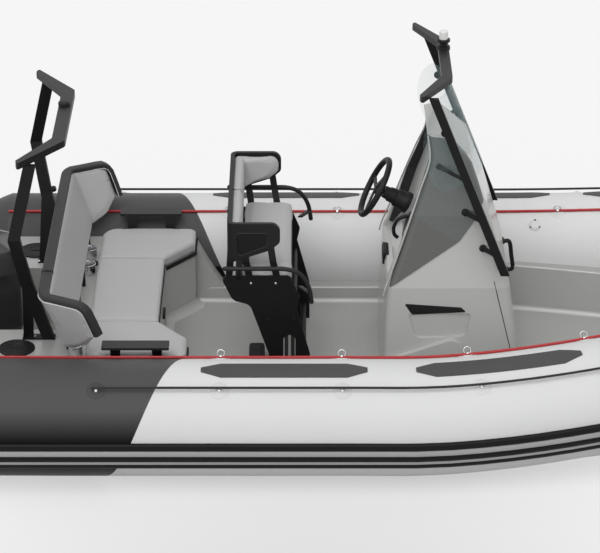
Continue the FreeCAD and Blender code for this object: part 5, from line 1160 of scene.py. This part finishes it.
# %% Arm rails
RAIL_Y, RAIL_RADIUS = 0.498, 0.0112
RAIL_LINE = smooth_path([(1.132, 0.855), (1.250, 0.855), (1.370, 0.855), (1.436, 0.852), (1.490, 0.832),
                         (1.526, 0.792), (1.547, 0.738), (1.5565, 0.676)], 5)
RAIL_END = [(RAIL_RADIUS, -0.001), (0.0106, 0.0035), (0.0085, 0.0075), (0.0045, 0.0100), (0.0002, 0.0106)]
TAB = [(1.488, 0.4185, 0.716), (1.512, 0.4185, 0.716), (1.556, 0.488, 0.716), (1.552, 0.500, 0.716),
       (1.535, 0.500, 0.716)]
POST = [(1.200, 0.416, 0.763), (1.200, 0.455, 0.800), (1.200, RAIL_Y, 0.853)]
arm_parts = []
for side in SIDES:
    line = [Vector((p.x, RAIL_Y * side, p.y)) for p in RAIL_LINE]
    arm_parts.append(swept("rail", line, circle(RAIL_RADIUS, 16), up=Vector((0, side, 0))))
    for end, ahead in ((line[0], line[0] - line[1]), (line[-1], line[-1] - line[-2])):
        arm_parts.append(turned("end", RAIL_END, end, ahead, 16))
    arm_parts.append(slab("tab", mirrored(TAB, side), UP, 0.010, 0.002))
    arm_parts.append(swept("post", mirrored(POST, side), circle(0.0085, 14), up=AHEAD))
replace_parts(joined("Arm_rails", arm_parts, dark_powder, "black_metal"), "helm_arm_rails")

# %% Ribbed foot block
BLOCK_TOP = 0.219
block_outline = round_corners(rectangle(1.240, 0.1405, 1.320, BLOCK_TOP), [0.002, 0.002, 0.022, 0.022])
foot_parts = [slab("block", [(p.x, -0.411, p.y) for p in block_outline], ACROSS, 0.375, 0.003)]
for i in range(9):
    ends = [(1.2485 + 0.0080 * i, y, BLOCK_TOP + 0.0005) for y in (-0.405, -0.040)]
    foot_parts.append(swept("rib", ends, rounded_box_section(0.0040, 0.0040, 0.0012, 2)))
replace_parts(joined("Foot_block", foot_parts, black_plastic, "black_plastic"), "helm_footrest")

# %% [markdown]
# ## Console
# The near and far walls of the console stand up beside the dash. Each has a dark lining inside and a
# pale rolled edge. The dash is bare but for the wheel's boss and the engine's control. A black wedge
# fills the air slot in each side.

# %% Rolled edges and linings
CONSOLE_EDGE = [(1.911, 0.392, 0.660), (1.928, 0.389, 0.722), (1.985, 0.359, 0.880), (2.046, 0.322, 1.060),
                (2.090, 0.286, 1.190), (2.134, 0.246, 1.318), (2.124, 0.204, 1.432)]
LOWER_LINING = [(1.958, 0.2895, 0.760), (2.044, 0.2895, 1.056), (2.095, 0.2895, 1.056),
                (2.021, 0.2895, 0.812), (1.975, 0.2895, 0.752)]
UPPER_LINING = [(2.046, 0.2890, 1.058), (2.132, 0.2070, 1.318), (2.170, 0.2070, 1.318),
                (2.095, 0.2890, 1.058)]
rims, linings = [], []
for side in SIDES:
    rims.append(swept("rim", smooth_path(mirrored(CONSOLE_EDGE, side), 6), circle(0.0042, 10)))
    for outline in (LOWER_LINING, UPPER_LINING):
        linings.append(slab("lining", mirrored(outline, side), (0, -side, 0), 0.003))
joined("Console_rolled_edges", rims, console_gelcoat, "moulding_light")
joined("Console_linings", linings, dark_vinyl, "moulding_dark")

# %% Boss of the wheel and the engine's control
wheel_tilt = math.radians(27.7)
wheel_ahead = Vector((math.cos(wheel_tilt), 0.0, -math.sin(wheel_tilt)))
wheel_centre = Vector((1.875, 0.0, 1.072))
BELL = [(0.0104, 0.082), (0.0104, 0.050), (0.0290, 0.050), (0.0310, 0.053), (0.0320, 0.074), (0.0360, 0.078),
        (0.0375, 0.082), (0.0385, 0.112), (0.0450, 0.117), (0.0465, 0.122), (0.0480, 0.160), (0.0530, 0.166),
        (0.0545, 0.172), (0.0545, 0.190)]
bell = turned("Steering_bell", BELL, wheel_centre, wheel_ahead, 40)
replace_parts(place(bell, black_plastic), "steering_boss")
LEVER_Y, LEVER_TOP = -0.205, (2.050, 1.008)
LEVER = [(1.985, 0.888), (1.968, 0.905), (1.963, 0.935), (1.972, 0.968), (1.992, 0.992), (2.022, 1.004),
         LEVER_TOP]
KNOB = [(0.0002, -0.022), (0.0100, -0.022), (0.0125, -0.018), (0.0125, 0.018), (0.0100, 0.022),
        (0.0002, 0.022)]
HOUSING = round_corners([(2.004, 0.880), (2.062, 0.880), (2.078, 0.985), (2.022, 0.985)],
                        [0.012, 0.002, 0.002, 0.020])
lever_line = smooth_path([(x, LEVER_Y, z) for x, z in LEVER], 6)
control = [swept("lever", lever_line, circle(0.0095, 12), up=ACROSS),
           turned("knob", KNOB, (LEVER_TOP[0], LEVER_Y, LEVER_TOP[1]), ACROSS, 20),
           slab("housing", [(p.x, -0.236, p.y) for p in HOUSING], ACROSS, 0.062, 0.006)]
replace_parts(joined("Engine_control", control, black_plastic, "black_plastic"), "throttle_control")

# %% Foot vent, air slots, seam and handle
frame_outline = [(1.948, y, z) for y, z in rectangle(-0.07, 0.672, 0.07, 0.735)]
vent = [slab("frame", frame_outline, (-1, 0, 0.2), 0.030, 0.004)]
for i in range(6):
    ends = [(1.917, y, 0.679 + 0.010 * i) for y in (-0.062, 0.062)]
    vent.append(swept("slat", ends, rounded_box_section(0.004, 0.004, 0.001, 2)))
joined("Foot_vent", vent, black_plastic, "black_plastic")
WEDGE = [(2.018, 0.6155), (2.0555, 0.5565), (2.3225, 0.5705), (2.2955, 0.5955)]
wedges = []
for side in SIDES:
    wedges.append(slab("wedge", [(x, 0.3760 * side, z) for x, z in WEDGE], (0, side, 0), 0.0225, 0.002))
joined("Air_slot_wedges", wedges, black_plastic, "black_plastic")
GRIP_Y = 0.262
GRIP = [(2.548, 0.656), (2.578, 0.650), (2.590, 0.575), (2.598, 0.505), (2.572, 0.491)]
GRIP_FOOT = [(0.020, -0.012), (0.020, 0.006), (0.016, 0.010), (0.0, 0.010)]
grips = [swept("grip", smooth_path([(x, GRIP_Y, z) for x, z in GRIP], 6), circle(0.011, 12))]
for x, z in ((2.541, 0.656), (2.567, 0.491)):
    grips.append(turned("foot", GRIP_FOOT, (x, GRIP_Y, z), (1, 0, 0.15)))
joined("Console_grab_handle", grips, black_plastic, "black_plastic")
print("console dressed")

# %% Front seams and the rails' stand-offs
console_skins = [surface_tree(cad[node].data) for node in ("console_body", "console_side_panels")]


def first_hit(start, direction):
    """The first place where a straight line meets the console."""
    found = [skin.ray_cast(start, direction) for skin in console_skins]
    found = [hit for hit in found if hit[0] is not None]
    return min(found, key=lambda hit: hit[3])[0] if found else None


# The seam falls from its top forward to its foot
SEAM_TOP, SEAM_FOOT, SEAM_STEP = (2.455, 0.735), (2.570, 0.270), 0.052
seams = []
for side in SIDES:
    line = []
    for i in range(12):
        z = SEAM_TOP[1] - SEAM_STEP * i
        x = SEAM_TOP[0] + (SEAM_FOOT[0] - SEAM_TOP[0]) * (SEAM_TOP[1] - z) / (SEAM_TOP[1] - SEAM_FOOT[1])
        line.append(first_hit(Vector((x, 0.8 * side, z)), Vector((0, -side, 0))))
    seams.append(swept("seam", [p for p in line if p], circle(0.0022, 8), up=AHEAD))
joined("Console_seams", seams, dark_vinyl, "moulding_dark")
# Place on the rail (x and height) and radius of each stand-off
STANDOFFS = ((2.196, 1.535, 0.0085), (2.300, 1.305, 0.0100), (2.392, 1.085, 0.0125), (2.462, 0.905, 0.0125))
FURTHEST = 0.30
standoffs = []
for side in SIDES:
    for x, z, radius in STANDOFFS:
        start = Vector((x, 0.462 * side, z))
        foot = first_hit(start, Vector((-0.62, -side, -0.05)).normalized())
        if foot is None or (foot - start).length > FURTHEST:
            continue
        away = (start - foot).normalized()
        flare = [(radius * 1.45, -0.004), (radius * 1.45, 0.010), (radius * 1.25, 0.014), (radius, 0.016)]
        rod = [foot - away * 0.004, foot.lerp(start, 0.5), start]
        standoffs.append(swept("rod", rod, circle(radius, 14)))
        standoffs.append(turned("foot", flare, foot, away, 20))
joined("Screen_rail_standoffs", standoffs, black_plastic, "black_plastic")
print("seams and", len(standoffs), "stand-off parts")

# %% [markdown]
# ## Clamps, bolts and small lights on the bars
# The screen is held to its rails by round clamps. The roll bar is bolted down through its base plates,
# and its crossbar carries a small round lamp. The white light stands in a holder of two discs.

# %% Screen clamps and light holder
CLAMP_X, CLAMP_HEIGHT = 2.1960, 1.521
CLAMP_DISC = [(0.0004, -0.007), (0.0170, -0.007), (0.0190, -0.004), (0.0190, 0.004), (0.0170, 0.007),
              (0.0004, 0.007)]
HOLDER_DISCS = [(0.0002, 1.700), (0.0190, 1.700), (0.0220, 1.704), (0.0235, 1.735), (0.0320, 1.740),
                (0.0335, 1.744), (0.0335, 1.757), (0.0320, 1.761), (0.0200, 1.764), (0.0190, 1.780),
                (0.0310, 1.784), (0.0330, 1.787), (0.0330, 1.795), (0.0315, 1.798), (0.0190, 1.7985),
                (0.0002, 1.7985)]
clamps = []
for side in SIDES:
    arm = [(2.2066, 0.452 * side, CLAMP_HEIGHT), (CLAMP_X, 0.388 * side, CLAMP_HEIGHT)]
    clamps.append(swept("arm", arm, circle(0.008, 14)))
    clamps.append(turned("disc", CLAMP_DISC, (CLAMP_X, 0.386 * side, CLAMP_HEIGHT), (0.16, side, 0), 24))
joined("Screen_clamps", clamps, black_plastic, "black_plastic")
crossbar_x, light_y = 2.209, 0.165
holder = turned("Light_holder_discs", HOLDER_DISCS, (crossbar_x, light_y, 0.0), UP)
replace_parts(place(holder, black_plastic), "light_holder")

# %% Bolts and lamps of the roll bar
BAR_BOLTS = ((0.278, 0.4445), (0.228, 0.4305), (0.187, 0.4445), (0.137, 0.4305))
BAR_LAMP = [(0.0002, 0.0), (0.030, 0.0), (0.030, 0.010), (0.027, 0.016), (0.018, 0.019), (0.0002, 0.020)]
LEG_LAMP = [(0.0002, 0.0), (0.016, 0.0), (0.016, 0.016), (0.012, 0.022), (0.0002, 0.022)]
bar_bolts = [bolt("bolt", (x, y * side, 0.463), UP, 0.006) for side in SIDES for x, y in BAR_BOLTS]
joined("Roll_bar_bolts", bar_bolts, steel, "stainless")
lamp_parts = [turned("lamp", BAR_LAMP, (0.326, 0.130, 1.462), UP),
              turned("leg lamp", LEG_LAMP, (0.205, 0.560, 0.815), (1, 0, 0.3))]
joined("Roll_bar_lamps", lamp_parts, black_plastic, "black_plastic")
print("bars dressed")

# %% [markdown]
# ## Floor, light and camera
# The floor stands at the waterline, as still water would. To the camera it is a pale sheet with a painted
# soft round shadow under the near side, and it also keeps the boat's own shadow. To the light it is darker,
# so that it doesn't brighten the boat from below. Plain soft light comes from all round, with a broad lamp
# above that gives the tube its shading; the highlight on the dark cloth is painted. The levels are set so
# that a colour renders about as it is written.
# The camera stands far off with a long lens, as the photograph was taken.

# %% Floor
FLOOR_REACH = 45
corners = [(x, y, 0) for x, y in rectangle(-FLOOR_REACH, -FLOOR_REACH, FLOOR_REACH, FLOOR_REACH)]
floor = mesh_object("Studio_floor", corners, [(0, 1, 2, 3)])
paper, w, shader, where = new_finish("Pale floor")
seen_paper = drifting(w, where, (0.94, 0.94, 0.94), 0.01, 0.5)
set_constants(shader, Roughness=0.9, Specular_IOR_Level=0.1)
# A darker round patch in the floor's glow, under the near side of the boat, is a painted soft shadow
painted_shadow_placing = {"Vector": where, "Location": (-0.83, 1.30, 0.0), "Scale": (0.52, 0.52, 0.0)}
spot = w.fed("ShaderNodeMapping", painted_shadow_placing)
reach = w.fed("ShaderNodeVectorMath", {0: spot[0]}, operation="LENGTH")["Value"]
glow = w.node("ShaderNodeEmission")
painted_shadow_share = w.between(reach, 0.10, 1.15)
w.feed(glow, "Color", w.mix(painted_shadow_share, (0.60, 0.60, 0.60, 1), (0.95, 0.95, 0.95, 1)))
direct = w.seen_ray()
w.feed(shader, "Base Color", w.mix(direct, (0.50, 0.50, 0.50, 1), seen_paper))
soft_shadow = w.mix_shaders(w.math("MULTIPLY", direct, 0.62), shader, glow)
w.feed(w.tree.nodes["Material Output"], "Surface", soft_shadow)
floor.data.materials.append(paper)

# %% Light
scene = bpy.context.scene
world = bpy.data.worlds.new("Soft studio")
scene.world = world
world.use_nodes = True
world.node_tree.nodes.clear()
w = Wiring(world.node_tree)
lit = w.node("ShaderNodeBackground")
set_constants(lit, Color=(1.0, 1.0, 1.0, 1), Strength=0.50)
seen = w.node("ShaderNodeBackground")
set_constants(seen, Color=(0.913, 0.913, 0.913, 1))
w.feed(w.node("ShaderNodeOutputWorld"), "Surface", w.mix_shaders(w.seen_ray(), lit, seen))
# Name, strength, spread, tilt and turn in degrees
LAMPS = (("Overhead lamp", 1.55, 50, 32, -8), ("Low fill lamp", 0.25, 60, 80, -6))
for title, energy, spread, tilt, turn in LAMPS:
    lamp = bpy.data.lights.new(title, "SUN")
    lamp.energy = energy
    lamp.angle = math.radians(spread)
    hung = bpy.data.objects.new(title.replace(" ", "_"), lamp)
    scene.collection.objects.link(hung)
    hung.rotation_euler = (math.radians(tilt), math.radians(turn), 0)

# %% Camera
CAMERA_PLACE, CAMERA_AIM = Vector((1.50, -12.703, 6.604)), Vector((1.50, 0.0, 0.577))
lens = bpy.data.cameras.new("Long lens")
lens.sensor_width = 36.0
lens.lens = 166.3
lens.clip_end = 200.0
camera = bpy.data.objects.new("Camera", lens)
scene.collection.objects.link(camera)
camera.location = CAMERA_PLACE
camera.rotation_euler = (CAMERA_AIM - CAMERA_PLACE).to_track_quat("-Z", "Y").to_euler()
scene.camera = camera
scene.view_settings.view_transform = "Standard"
print("camera", [round(v, 2) for v in camera.location], "lens", lens.lens)
